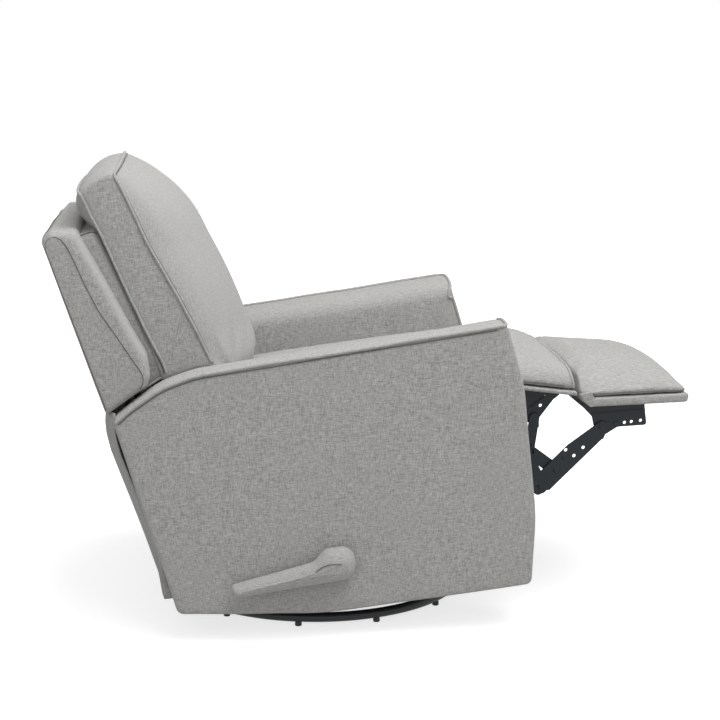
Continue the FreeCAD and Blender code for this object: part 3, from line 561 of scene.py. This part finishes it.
def padFromNode(name, node, seams, holds, limits, cap, shrink):
    piece = levelCopy(name, node)
    cleanMesh(piece.data, merge=1e-5, turnOut=False)
    remeshPiece(piece, stuffing["voxel"], stuffing["softening"])
    mesh = piece.data
    rest = readPoints(mesh)
    normals = readNormals(mesh)
    start = rest - normals * shrink
    writePoints(mesh, start)
    held = holds(rest * 1000, normals)
    seamPoints = [point for seam in seams for point in evenPath(seam, stuffing["seamSpacing"])]
    if seamPoints:
        line = np.array([tuple(point) for point in seamPoints])
        near = np.full(len(rest), 1.0)
        for part in np.array_split(line, max(1, len(line) // 40)):   # in parts, to save memory
            gap = np.linalg.norm(rest[:, None, :] - part[None, :, :], axis=2).min(axis=1)
            near = np.minimum(near, gap)
        held = held | (near < stuffing["seamReach"])
    fillWithPressure(piece, held)
    moved = readPoints(piece.data) - start
    reach = np.linalg.norm(moved, axis=1, keepdims=True)
    moved *= np.minimum(1.0, cap / np.maximum(reach, 1e-9))
    points = limits((start + moved) * 1000) / 1000
    writePoints(piece.data, points)
    relax = piece.modifiers.new("relax", "SMOOTH")
    relax.factor = 0.5
    relax.iterations = stuffing["easing"]
    finer = piece.modifiers.new("finer", "SUBSURF")
    finer.levels = 1
    finer.render_levels = 1
    applyModifiers(piece)
    writePoints(piece.data, limits(readPoints(piece.data) * 1000) / 1000)
    piece.data.shade_smooth()
    return piece


def fillWithPressure(piece, held):
    pins = piece.vertex_groups.new(name="held")
    pins.add([int(i) for i in np.nonzero(held)[0]], 1.0, "REPLACE")
    cloth = piece.modifiers.new("cloth", "CLOTH")
    settings = cloth.settings
    settings.quality = 4
    settings.mass = 0.25
    settings.tension_stiffness = 14
    settings.compression_stiffness = 10
    settings.shear_stiffness = 5
    settings.bending_stiffness = 1.2
    settings.use_pressure = True
    settings.uniform_pressure_force = stuffing["pressure"]
    settings.vertex_group_mass = "held"
    settings.effector_weights.gravity = 0
    cloth.collision_settings.use_collision = False
    cloth.point_cache.frame_start = 1
    cloth.point_cache.frame_end = stuffing["frames"]
    for step in range(1, stuffing["frames"] + 1):
        bpy.context.scene.frame_set(step)
    applyModifiers(piece)
    piece.vertex_groups.clear()
    bpy.context.scene.frame_set(1)


# Arms

arm = {
    "edgeRadius": 7,
    "edgeDrop": 2.5,        # the top's dip to the outer welt
    "topRound": 38,
    "innerPull": 9,
    "crown": 4,
    "sideBulge": 3,
    "weltRadius": 3.4,
    "weltStart": (-399, 489),
    "frontInside": ((394, 548), (401, 520), (405, 490), (408, 460), (410, 425)),
    "topLine": ((-405, -370, -303, -235, 387), (487, 509, 545, 561, 583)),
    "arcSteps": 5,
    "edgeSteps": (12, 26, 14, 40, 30, 12, 24, 10, 6, 60),
    "ripple": (0.11, 0.0012),
}


def armCorners(drop, pull):
    front = chair["armFront"] - pull
    low = chair["armBottom"] + pull
    top = chair["armFrontHeight"]
    rearHigh = -chair["armRear"] + pull
    return [
        (front - 25, top - drop, 9),
        (front - 2, top - 125, 260),
        (front, 185, 400),
        (front - 22, low, 14),
        (-40, low, 700),
        (-chair["armFootRear"] + pull, low + 41, 16),
        (rearHigh, chair["armRearHeight"] - drop, 12),
        (-370, chair["armRearHeight"] + 22 - drop, 30),
        (-303, top - 38 - drop, 170),
        (-235, top - 22 - drop, 190),
    ]


def armStations():
    stations = []
    radius = arm["edgeRadius"]
    flatOuter = chair["outer"] - radius
    for k in range(5):
        turn = math.radians(22.5 * k)
        inward = 1 - math.sin(turn)
        y = flatOuter + radius * math.cos(turn)
        stations.append((y, arm["edgeDrop"] * inward, radius * inward))
    flatInner = chair["inner"] + arm["topRound"]
    for k in range(1, 9):
        share = k / 9
        y = flatOuter + (flatInner - flatOuter) * share
        stations.append((y, -arm["crown"] * math.sin(math.pi * share), 0))
    for k in range(9):
        turn = math.radians(90 * k / 8)
        y = chair["inner"] + arm["topRound"] * (1 - math.sin(turn))
        drop = arm["topRound"] * (1 - math.cos(turn))
        pull = arm["innerPull"] * max(0.0, math.sin(turn) - 0.7) / 0.3
        stations.append((y, drop, pull))
    return stations


def makeArm(name, side, node):
    rings = []
    for y, drop, pull in armStations():
        outline = roundOutline(armCorners(drop, pull), arm["arcSteps"], arm["edgeSteps"])
        rings.append([level(x, side * y, z) for x, z in outline])
    piece = loftPiece(name, rings, linen, startBulge=arm["sideBulge"] / 1000)
    ripple(piece, *arm["ripple"])
    top = armWeltPath(side)
    weltOn(piece, name + "Welt", top, arm["weltRadius"], 0.25, linen, "chair", loosen=1)
    below = [level(x, side * (chair["outer"] + 2), z) for x, z in armTopOutline(5, 5)]
    # Dark tube below the arm's welt: painted shade
    shadeLine(piece, name + "WeltShade", below, (0, 0, 0), "chair")
    finishPiece(piece, "chair", replaced=(node,))


def armTopOutline(drop, pull, past=0):   # from the rear corner along the top to the front
    outline = roundOutline(armCorners(drop, pull), 8, arm["edgeSteps"])
    corner = Vector(arm["weltStart"])
    start = min(range(len(outline)), key=lambda i: (outline[i] - corner).length)
    return outline[start:] + outline[:past]


def armWeltPath(side):
    points = [level(x, side * (chair["outer"] - 1), z) for x, z in armTopOutline(0.6, 1.2, past=4)]
    for y, drop, pull in armStations()[5:]:   # across the front of the top
        place = level(chair["armFront"] - 26 - pull, side * y, chair["armFrontHeight"] - drop - 1)
        points.append(place)
    for x, z in arm["frontInside"]:
        points.append(level(x, side * (chair["inner"] - 4), z))
    return points


print("Making the arms")
makeArm("rightArmCover", -1, "right_arm")
makeArm("leftArmCover", 1, "left_arm")


# Outer back

outerBack = {
    "edgeRadius": 16,
    "bulge": 6,
    "edgeSteps": (40, 6, 6, 10, 14, 8, 6, 5, 14),
    "ripple": (0.13, 0.0012),
    "sideSeam": ((-421, 506), (-457, 680), (-490, 835), (-494, 851), (-487, 861), (-473, 863),
                 (-459, 860), (-448, 838), (-439, 811), (-424, 760), (-403, 701), (-377, 652),
                 (-357, 609), (-336, 570), (-334, 553), (-345, 539)),
    "sideSeamRadius": 0.9,
    "headSeam": (-492, 853),
    "headSeamInset": 6,
    "headSeamRadius": 1.2,
    "headSeamLoosen": 30,
}


def outerBackCorners(pull):
    return [
        (-419 + pull * 0.4, 496 + pull, 7),
        (-496 + pull * 0.4, 852 - pull, 12),
        (-478, 869 - pull, 14),
        (-430 - pull, 864 - pull, 12),
        (-397 - pull, 783, 300),
        (-350 - pull, 660, 300),
        (-325 - pull, 600, 60),
        (-324 - pull, 562, 14),
        (-332 - pull, 543 + pull * 0.5, 10),
    ]


def edgeStations(half, radius):   # how far out, and how far the outline is drawn in, round an edge
    turns = [math.radians(15 * k) for k in range(7)]
    return [(half - radius * (1 - math.cos(turn)), radius * (1 - math.sin(turn))) for turn in turns]


def makeOuterBack():
    half = chair["backHalf"]
    radius = outerBack["edgeRadius"]
    sideStations = edgeStations(half, radius)
    middle = [(half - radius) * (1 - 2 * k / 20) for k in range(1, 20)]
    otherSide = [(-y, pull) for y, pull in sideStations[::-1]]
    stations = sideStations + [(y, 0) for y in middle] + otherSide
    rings = []
    for y, pull in stations:
        outline = roundOutline(outerBackCorners(pull), 5, outerBack["edgeSteps"])
        rings.append([level(x, y, z) for x, z in outline])
    piece = loftPiece("outerBackCover", rings, linen, 0.002, 0.002)
    points = readPoints(piece.data)   # the stretched rear panel swells a little
    across = np.maximum(0.0, 1 - (points[:, 1] * 1000 / half) ** 2)
    rearward = readNormals(piece.data)[:, 0] < -0.7
    points[:, 0] -= np.where(rearward, outerBack["bulge"] / 1000 * across, 0)
    writePoints(piece.data, points)
    ripple(piece, *outerBack["ripple"])
    # The side and head seams are dark tubes: their darkness is painted shade of the sunken seams
    for side, label in ((-1, "right"), (1, "left")):
        path = [level(x, side * (half + 2), z) for x, z in outerBack["sideSeam"]]
        radius = outerBack["sideSeamRadius"]
        weltOn(piece, label + "BackSeam", path, radius, 0.3, paintedSeamShade, "back", loosen=8)
    x, z = outerBack["headSeam"]
    reach = half - outerBack["headSeamInset"]
    head = [level(x, y, z) for y in np.linspace(-reach, reach, 40)]
    weltOn(piece, "backHeadSeam", head, outerBack["headSeamRadius"], 0.3, paintedSeamShade, "back",
           loosen=outerBack["headSeamLoosen"])
    finishPiece(piece, "back", replaced=("outer_back",))


# Inner back, between the outer back and the cushion

innerBack = {
    "half": 272,
    "core": 253,            # half of the width that reaches down between the arms
    "edgeRadius": 14,
    "sideFoot": ((-357, 514, 8), (-291, 547, 6)),   # above the arms' round tops
    "coreFoot": ((-322, 492, 6), (-283, 492, 6)),
    "edgeSteps": (40, 6, 40, 8),
    "ripple": (0.08, 0.0015),
    "headSeam": ((-426, 847), (-402, 855), (-390, 848)),
    "headSeamRadius": 1.3,
    "footWelt": ((-294, 566), (-290, 550), (-300, 543), (-325, 532), (-345, 521)),
    "footWeltRadius": 3,
}


def innerBackCorners(pull, foot):
    rear, front = foot
    return [
        (rear[0] + pull * 0.2, rear[1] + pull, rear[2]),
        (-433, 850 - pull, 8),
        (-393 - pull, 856 - pull, 8),
        (front[0] - pull, front[1] + pull, front[2]),
    ]


def makeInnerBack():
    half = innerBack["half"]
    radius = innerBack["edgeRadius"]
    wide = [(y, pull, 1) for y, pull in edgeStations(half, radius)]
    narrow = [(innerBack["core"] + 2, 0, 1), (innerBack["core"] - 3, 0, 0)]
    middle = [(y, 0, 0) for y in range(200, -201, -50)]
    otherSide = [(-y, pull, upper) for y, pull, upper in (wide + narrow)[::-1]]
    rings = []
    for y, pull, upper in wide + narrow + middle + otherSide:
        corners = innerBackCorners(pull, innerBack["sideFoot" if upper else "coreFoot"])
        outline = roundOutline(corners, 4, innerBack["edgeSteps"])
        rings.append([level(x, y, z) for x, z in outline])
    piece = loftPiece("innerBackCover", rings, linen, 0.003, 0.003)
    ripple(piece, *innerBack["ripple"])
    for side, label in ((-1, "right"), (1, "left")):
        # The head seams are dark tubes: their darkness is painted shade of the sunken seams
        head = [level(x, side * (half - 4), z) for x, z in innerBack["headSeam"]]
        radius = innerBack["headSeamRadius"]
        weltOn(piece, label + "InnerBackSeam", head, radius, 0.2, paintedSeamShade, "back")
        foot = [level(x, side * (half + 4), z) for x, z in innerBack["footWelt"]]
        radius = innerBack["footWeltRadius"]
        weltOn(piece, label + "InnerBackWelt", foot, radius, 0.25, linen, "back", spacing=0.005)
    finishPiece(piece, "back", replaced=("back_block",))


# Back cushion

backCushion = {
    "frontSeam": ((-199, 566), (-222, 631), (-247, 697), (-272, 759), (-297, 820), (-311, 867),
                  (-329, 925), (-342, 962)),
    "rearSeam": ((-293, 556), (-296, 576), (-321, 640), (-345, 707), (-369, 777), (-391, 855),
                 (-403, 886), (-414, 923), (-420, 932)),
    "weltRadius": 3.0,
    "cap": 0.02,
    "shrink": 0.002,
    "restTop": 838,         # how high it leans on the inner back
    "restHalf": 262,
    "foot": 560,            # held between the arms below this
    "widest": ((556, 574), (260, 290)),
    "armsInside": 258,      # from here outwards, over this width, it meets the arms' tops
    "armsOver": 6,
    "armsHigh": 625,        # up to this height, fully from armsLow down
    "armsLow": 569,
    "armsGap": 1.5,
    "armsRise": 0.4,
}


def seamAround(side, middleRise, middleForward):
    half = chair["cushionHalf"]
    near = [level(x, -half, z) for x, z in side]
    topX, topZ = side[-1]
    across = []
    for k in range(1, 24):
        y = -half + 2 * half * k / 24
        fullness = math.sqrt(1 - (y / half) ** 2)
        across.append(level(topX + middleForward * fullness, y, topZ + middleRise * fullness))
    far = [level(x, half, z) for x, z in side[::-1]]
    return near + across + far


def armTopHeight(x, y):
    along = np.interp(x, *arm["topLine"])
    inward = np.clip(chair["inner"] + arm["topRound"] - np.abs(y), 0, arm["topRound"])
    return along - (arm["topRound"] - np.sqrt(arm["topRound"] ** 2 - inward ** 2))


def meetArms(points):   # the lower corners come to lie on the arms' tops
    x, y, z = points[:, 0], points[:, 1], points[:, 2]
    high, low = backCushion["armsHigh"], backCushion["armsLow"]
    beside = np.clip((np.abs(y) - backCushion["armsInside"]) / backCushion["armsOver"], 0, 1)
    near = np.clip((high - z) / (high - low), 0, 1)
    lying = armTopHeight(x, y) + backCushion["armsGap"] + (z - low) * backCushion["armsRise"]
    points[:, 2] = z + beside * near * (lying - z) * (z < high)
    return points


def makeBackCushion():
    frontSeam = seamAround(backCushion["frontSeam"], 20, 15)
    rearSeam = seamAround(backCushion["rearSeam"], 2, -2)

    def holds(points, normals):
        y, z = points[:, 1], points[:, 2]
        behind = (z < backCushion["restTop"]) & (np.abs(y) < backCushion["restHalf"])
        return (normals[:, 0] < -0.6) & behind | (z < backCushion["foot"])

    def limits(points):
        widest = np.interp(points[:, 2], *backCushion["widest"])
        points[:, 1] = np.clip(points[:, 1], -widest, widest)
        return points

    piece = padFromNode("backCushionCover", "back_cushion", (frontSeam, rearSeam), holds, limits,
                        backCushion["cap"], backCushion["shrink"])
    writePoints(piece.data, meetArms(readPoints(piece.data) * 1000) / 1000)
    for name, seam in (("cushionFrontWelt", frontSeam), ("cushionRearWelt", rearSeam)):
        weltOn(piece, name, seam, backCushion["weltRadius"], 0.25, linen, "back")
    # Dark tubes beside the cushion's welts: painted shade
    shadeLine(piece, "cushionFrontWeltShade", frontSeam, (5, 0, -2), "back")
    shadeLine(piece, "cushionRearWeltShade", rearSeam, (-4.5, 0, -2), "back")
    finishPiece(piece, "back", replaced=("back_cushion",))


print("Making the back")
makeOuterBack()
makeInnerBack()
makeBackCushion()


# Seat, flap and footrest pads

pads = {
    "cap": 0.012,
    "seatEnds": (-266, 404),
    "flapEnds": (405.4, 548),
    "footrestEnds": (549, 788),
    "weltRadius": 2.6,
    "weltPlace": 538,
    "weltDrop": 9,          # steps of 2 mm down the pad's sides
    "stitchRadius": 1.1,
    "flapStitch": ((410, 438), (429, 435), (478, 426), (520, 413)),
    "footrestStitch": ((556, 390), (600, 388), (680, 381), (778, 371)),
    "gatherReach": 0.05,
    "gatherHeight": 0.0016,
    "gatherCount": 260,
    "boardVoxel": 0.003,
    "boardSoftening": 3,
    "boardRipple": (0.03, 0.0006),
}


def downward(points, normals):
    return normals[:, 2] < -0.55


def sideLimits(ends):
    def limits(points):
        half = chair["seatHalf"] - 0.6
        points[:, 1] = np.clip(points[:, 1], -half, half)
        points[:, 0] = np.clip(points[:, 0], *ends)
        return points
    return limits


def acrossPad(piece, x):
    tree = BVHTree.FromObject(piece, bpy.context.evaluated_depsgraph_get())
    reach = chair["seatHalf"] - 4
    path = []
    for k in range(61):
        y = -reach + 2 * reach * k / 60
        place, normal, index, distance = tree.ray_cast(level(x, y, 700), Vector((0, 0, -1)))
        if place is not None:
            path.append(place)
    drops = range(1, pads["weltDrop"] + 1)
    rising = [path[0] + level(1, -4, -2 * k) for k in drops[::-1]]
    falling = [path[-1] + level(1, 4, -2 * k) for k in drops]
    return rising + path + falling


def stitchSides(piece, kind, line, out, body):
    for side, label in ((-1, "right"), (1, "left")):
        path = [level(x, side * out, z) for x, z in line]
        # Dark stitch lines: their darkness is painted shade of the sunken seams
        weltOn(piece, label + kind, path, pads["stitchRadius"], 0.2, paintedSeamShade, body)


def flatPad(name, node, ends, cap, shrink):
    return padFromNode(name, node, (), downward, sideLimits(ends), cap, shrink)


def makeSeatPad():
    piece = flatPad("seatPadCover", "seat_cushion", pads["seatEnds"], pads["cap"], 0.003)
    finishPiece(piece, "chair", replaced=("seat_cushion",))


def makeFlapPad():
    piece = flatPad("flapPadCover", "flap_pad", pads["flapEnds"], pads["cap"] * 0.5, 0.001)
    across = acrossPad(piece, pads["weltPlace"])
    weltOn(piece, "flapFrontWelt", across, pads["weltRadius"], 0.3, linen, "flap")
    stitchSides(piece, "FlapStitch", pads["flapStitch"], 262, "flap")
    finishPiece(piece, "flap", replaced=("flap_pad",))


def makeFootrestPad():
    ends = pads["footrestEnds"]
    piece = flatPad("footrestPadCover", "footrest_pad", ends, pads["cap"] * 0.6, 0.001)
    points = readPoints(piece.data)   # gathers beside the seam with the flap
    away = (points[:, 0] - ends[0] / 1000) / pads["gatherReach"]
    near = np.maximum(0.0, 1 - away) * (readNormals(piece.data)[:, 2] > 0.2)
    waves = np.array([noise.noise(Vector(point) * 30) for point in points])
    gathers = np.sin(points[:, 1] * pads["gatherCount"] + 3 * waves)
    points[:, 2] += pads["gatherHeight"] * near * gathers
    writePoints(piece.data, points)
    stitchSides(piece, "FootrestSeam", pads["footrestStitch"], 263, "footrest_panel")
    finishPiece(piece, "footrest_panel", replaced=("footrest_pad",))


def wrapBoard(name, node, body):
    piece = levelCopy(name, node)
    remeshPiece(piece, pads["boardVoxel"], pads["boardSoftening"])
    piece.data.shade_smooth()
    ripple(piece, *pads["boardRipple"])
    finishPiece(piece, body, replaced=(node,))


footrestRoll = {
    "corners": ((552, 396, 6), (553, 382, 14), (571, 365, 5), (582, 366, 3), (582, 384, 2),
                (575, 396, 3)),
    "edgeSteps": (8, 8, 3, 6, 4, 8),
    "open": 570,            # corners behind this are puckered, the others lie in the pad
    "endPull": 3,
    "pucker": 0.8,
}


def makeFootrestRoll():
    half = chair["seatHalf"] - 1
    rings = []
    for k in range(41):
        y = half - 2 * half * k / 40
        pull = footrestRoll["endPull"] * max(0.0, abs(y) / half - 0.97) / 0.03
        wander = 2 * noise.noise(Vector((y / 40, 0, 0)))
        shift = pull + footrestRoll["pucker"] * math.sin(y * 0.26 + wander)
        corners = [(x + (shift if x < footrestRoll["open"] else 0), z, radius)
                   for x, z, radius in footrestRoll["corners"]]
        outline = roundOutline(corners, 4, footrestRoll["edgeSteps"])
        rings.append([level(x, y, z) for x, z in outline])
    piece = loftPiece("footrestRearRoll", rings, linen)
    finishPiece(piece, "footrest_panel")


print("Making the seat and footrest pads")
makeSeatPad()
makeFlapPad()
makeFootrestPad()
makeFootrestRoll()
wrapBoard("flapBoardWrap", "flap_board", "flap")
wrapBoard("footrestBoardWrap", "footrest_board", "footrest_panel")


# Cloth that hangs from the back to the rear rail

rearFlap = {
    "line": ((-420, 500), (-424, 478), (-425, 455), (-421, 419), (-407, 359), (-393, 299),
             (-376, 225), (-360, 150), (-358, 102), (-356, 92)),
    "half": 300,
    "edge": 43,             # each side's strip: it spreads above and turns round the rail below
    "forward": 19,
    "armRear": ((96, 151, 268, 378, 467), (-332, -348, -367, -387, -404)),
    "thickness": 2.2,
    "wave": 2.2,
}


def rearFlapEdge(place, outward):
    upper = min(1.0, max(0.0, (place.z * 1000 - 150) / 120))
    armRear = np.interp(place.z * 1000, *rearFlap["armRear"])
    turned = min(outward, max(0.0, armRear - place.x * 1000 - 3))   # 3 mm clear of the arm
    x = turned + (rearFlap["forward"] * outward / rearFlap["edge"] - turned) * upper
    return x, outward * upper


def makeRearFlap():
    line = evenPath([level(x, 0, z) for x, z in rearFlap["line"]], 0.012)
    half = rearFlap["half"]
    reach = half + rearFlap["edge"]
    columns = 60
    points = []
    for row, place in enumerate(line):
        for k in range(columns + 1):
            along = -reach + 2 * reach * k / columns
            outward = max(0.0, abs(along) - half)
            forward, wider = rearFlapEdge(place, outward)
            y = math.copysign(min(abs(along), half) + wider, along)
            wave = rearFlap["wave"] * noise.noise(Vector((place.z * 5, y * 0.007, 0.3)))
            wave *= math.sin(math.pi * row / (len(line) - 1))
            points.append(Vector((place.x + (forward + wave) / 1000, y / 1000, place.z)))
    faces = []
    for row in range(len(line) - 1):
        for k in range(columns):
            a = row * (columns + 1) + k
            faces.append((a, a + 1, a + columns + 2, a + columns + 1))
    piece = meshPiece("rearFlapCloth", points, faces, linen)
    thicken = piece.modifiers.new("thicken", "SOLIDIFY")
    thicken.thickness = rearFlap["thickness"] / 1000
    thicken.offset = 0
    applyModifiers(piece)
    piece.data.shade_smooth()
    finishPiece(piece, None, replaced=("rear_flap",))
    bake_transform(piece)


makeRearFlap()
print("Rear cloth hung")


# Lever

lever = {
    "corners": ((-217, 112, 9), (34, 117, 30), (33, 184, 31), (-24, 184, 24), (-50, 161, 26),
                (-220, 137, 9)),
    "edgeSteps": (44, 6, 4, 6, 34, 4),
    "hub": (0, 148),
    "tail": (-205, 125),
    "middle": (404, 398),    # handle and hub: how far out the widest line lies
    "front": (24, 36),
    "back": (9, 8),
    "gathers": 34,
    "gatherHeight": 0.9,
    "seam": ((-52, 158), (-38, 161), (-18, 162), (2, 159)),
    "seamRadius": 0.9,
}


def leverSpine(x):
    tail, hub = Vector(lever["tail"]), Vector(lever["hub"])
    share = min(1.0, max(0.0, (x - tail.x) / (hub.x - tail.x)))
    spine = tail.lerp(hub, share)
    rise = min(1.0, max(0.0, (share - 0.66) / 0.3))   # it swells to the hub over the last third
    return spine, rise * rise * (3 - 2 * rise)


def makeLever():
    outline = roundOutline(lever["corners"], 9, lever["edgeSteps"])
    turns = [math.radians(-84 + 12 * k) for k in range(15)]
    rings = []
    for turn in turns:
        reach = math.cos(turn) ** 0.8
        ring = []
        for point in outline:
            spine, hubShare = leverSpine(point.x)
            x, z = spine + (point - spine) * reach
            middle = np.interp(hubShare, (0, 1), lever["middle"])
            depth = np.interp(hubShare, (0, 1), lever["front" if turn > 0 else "back"])
            around = math.atan2(z - lever["hub"][1], x - lever["hub"][0])
            fold = max(0.0, math.sin(around)) * hubShare * max(0.0, math.sin(2 * turn))
            gather = lever["gatherHeight"] * fold * math.sin(around * lever["gathers"])
            out = middle + depth * math.sin(turn) + gather
            ring.append(level(x, -out, z))
        rings.append(ring)
    piece = loftPiece("leverCover", rings, linen)
    # Dark seam line: its darkness is painted shade of the sunken seam
    path = [level(x, -440, z) for x, z in lever["seam"]]
    weltOn(piece, "leverSeam", path, lever["seamRadius"], 0.3, paintedSeamShade, "lever", spacing=0.004)
    finishPiece(piece, "lever", replaced=("lever_handle",))


makeLever()
print("Lever covered")


# Base ring and feet, rounder than the frame's

base = {
    "ringRadius": 0.316,
    "tubeRadius": 0.0102,
    "ringHeight": 0.0188,
    "feet": 12,
    "firstFoot": -103,
    "footProfile": ((0.0, 0.0), (0.0052, 0.0), (0.0068, 0.0008), (0.0072, 0.0024), (0.0068, 0.0095),
                    (0.0050, 0.0118), (0.0050, 0.0160), (0.0, 0.0160)),
}


def circleTurns(count):
    return [2 * math.pi * k / count for k in range(count)]


def makeBaseRing():
    rounds = 160
    sides = 24
    points = []
    for turn in circleTurns(rounds):
        for roll in circleTurns(sides):
            reach = base["ringRadius"] + base["tubeRadius"] * math.cos(roll)
            height = base["ringHeight"] + base["tubeRadius"] * math.sin(roll)
            points.append(Vector((reach * math.cos(turn), reach * math.sin(turn), height)))
    faces = [tuple(i % len(points) for i in face) for face in bandFaces(0, rounds + 1, sides)]
    piece = meshPiece("baseRingTube", points, faces, satinBlack)
    finishPiece(piece, "base", replaced=("base_ring",), lean=False)


def makeFeet():
    sides = 28
    points = []
    faces = []
    for i in range(base["feet"]):
        turn = math.radians(base["firstFoot"] + 360 * i / base["feet"])
        middle = Vector((math.cos(turn), math.sin(turn), 0)) * base["ringRadius"]
        faces += bandFaces(len(points), len(base["footProfile"]), sides)
        for reach, height in base["footProfile"]:
            for roll in circleTurns(sides):
                ringPoint = Vector((reach * math.cos(roll), reach * math.sin(roll), height))
                points.append(middle + ringPoint)
    piece = meshPiece("baseFeet", points, faces, nylon)
    cleanMesh(piece.data, merge=1e-6)
    finishPiece(piece, "base", replaced=("base_glides",), lean=False)


makeBaseRing()
makeFeet()
print("Base ring and feet made")


# Rivet heads of the footrest linkage

rivet = {
    "radius": 6.2,
    "height": 2.0,
    "joints": {   # body: (x, z, plane, way out) of each head
        "footrest_long": ((594, 318, 247, 1), (488.8, 235.7, 247, 1), (510, 262, 247, 1)),
        "footrest_drive": ((452, 207, 252, 1), (452, 207, 243, -1)),
        "footrest_panel": ((608, 322, 242, 1), (627, 320, 242, 1), (594, 318, 238, -1)),
        "cross_links": ((488.8, 235.7, 238, -1),),
        "flap": ((425, 404.2, 228, -1), (455.3, 352.3, 228, -1)),
        "lift_links": ((438, 283, 233, -1),),
        "chair": ((389.5, 366, 248, -1),),
    },
}


def headPoints(x, z, plane, way, side):
    rows = 5
    sides = 20
    points = []
    for row in range(rows):
        roll = math.radians(90 * row / rows)
        reach = rivet["radius"] * math.cos(roll)
        lift = rivet["height"] * math.sin(roll)
        out = side * (plane + way * lift)
        for turn in circleTurns(sides):
            points.append(level(x + reach * math.cos(turn), out, z + reach * math.sin(turn)))
    points.append(level(x, side * (plane + way * rivet["height"]), z))
    faces = bandFaces(0, rows, sides)
    last = (rows - 1) * sides
    for k in range(sides):
        faces.append((last + k, last + (k + 1) % sides, len(points) - 1))
    faces.append(tuple(range(sides)))
    return points, faces


def makeRivets():
    for body, heads in rivet["joints"].items():
        points = []
        faces = []
        for x, z, plane, way in heads:
            for side in (-1, 1):
                morePoints, moreFaces = headPoints(x, z, plane, way, side)
                first = len(points)
                points += morePoints
                faces += [tuple(first + i for i in face) for face in moreFaces]
        piece = meshPiece(body + "Rivets", points, faces, blueBlack)
        piece.data.set_sharp_from_angle(angle=math.radians(50))
        finishPiece(piece, body)


makeRivets()
print("Rivets set")


# Floor and light

studio = {
    "worldStrength": 0.36,
    "keyPower": 100,
    "fillPower": 14,
    "keyPlace": (0.7, -0.9, 3.3),
    "keyTarget": (0.05, 0, 0.4),
    "keySize": (3.0, 3.0),
    "fillPlace": (-1.2, -3.6, 1.9),
    "fillTarget": (0, 0, 0.4),
    "fillSize": (2.6, 2.0),
    "floorHalf": 9,
    "floorGlow": 0.74,
    "farGlow": 1.1,
    "shadowReach": 0.55,
}


def seenRays(tree, x, y):   # rays that show a thing itself, straight, mirrored or through glass
    ray = addNode(tree, "ShaderNodeLightPath", x, y)
    seen = ray.outputs["Is Camera Ray"]
    for i, kind in enumerate(("Is Glossy Ray", "Is Transmission Ray")):
        seen = mathNode(tree, "ADD", x + 200 + 150 * i, y, seen, ray.outputs[kind])
    return seen


def makeFloor():   # its glow fades into the white beyond the shadow
    size = studio["floorHalf"]
    points = [(-size, -size, 0), (size, -size, 0), (size, size, 0), (-size, size, 0)]
    material, tree, shader = newMaterial("paleFloor")
    setInputs(shader, {"Base Color": (0.55, 0.55, 0.55, 1), "Roughness": 0.9,
                       "Specular IOR Level": 0.1, "Emission Color": (1, 1, 1, 1)})
    seen = seenRays(tree, -600, -200)
    place = addNode(tree, "ShaderNodeTexCoord", -900, -450)
    away = addNode(tree, "ShaderNodeVectorMath", -700, -450)
    away.operation = "LENGTH"
    tree.links.new(place.outputs["Object"], away.inputs[0])
    spread = addNode(tree, "ShaderNodeMapRange", -500, -450)
    setInputs(spread, {"From Min": studio["shadowReach"], "From Max": studio["shadowReach"] * 2.5,
                       "To Min": studio["floorGlow"], "To Max": studio["farGlow"]})
    tree.links.new(away.outputs["Value"], spread.inputs["Value"])
    glow = mathNode(tree, "MULTIPLY", -100, -200, seen, spread.outputs["Result"])
    tree.links.new(glow, shader.inputs["Emission Strength"])
    floor = meshPiece("floor", points, [(0, 1, 2, 3)], material)


def makeWorld():
    world = bpy.data.worlds.new("studio")
    world.use_nodes = True
    bpy.context.scene.world = world
    tree = world.node_tree
    background = tree.nodes["Background"]
    clamped = mathNode(tree, "MINIMUM", -200, 0, seenRays(tree, -700, 0), 1.0)
    extra = mathNode(tree, "MULTIPLY", -100, 0, clamped, 1 - studio["worldStrength"])
    strength = mathNode(tree, "ADD", 0, 0, extra, studio["worldStrength"])
    background.inputs["Color"].default_value = (1, 1, 1, 1)
    tree.links.new(strength, background.inputs["Strength"])


def areaLight(name):
    data = bpy.data.lights.new(name, "AREA")
    data.shape = "RECTANGLE"
    data.size, data.size_y = studio[name + "Size"]
    data.energy = studio[name + "Power"]
    light = bpy.data.objects.new(name, data)
    light.location = studio[name + "Place"]
    aim = Vector(studio[name + "Target"]) - light.location
    light.rotation_euler = aim.to_track_quat("-Z", "Y").to_euler()
    bpy.context.scene.collection.objects.link(light)


makeCamera(cameraSetup)
makeFloor()
makeWorld()
areaLight("key")
areaLight("fill")
bpy.context.scene.view_settings.view_transform = "Standard"
print("Studio ready")
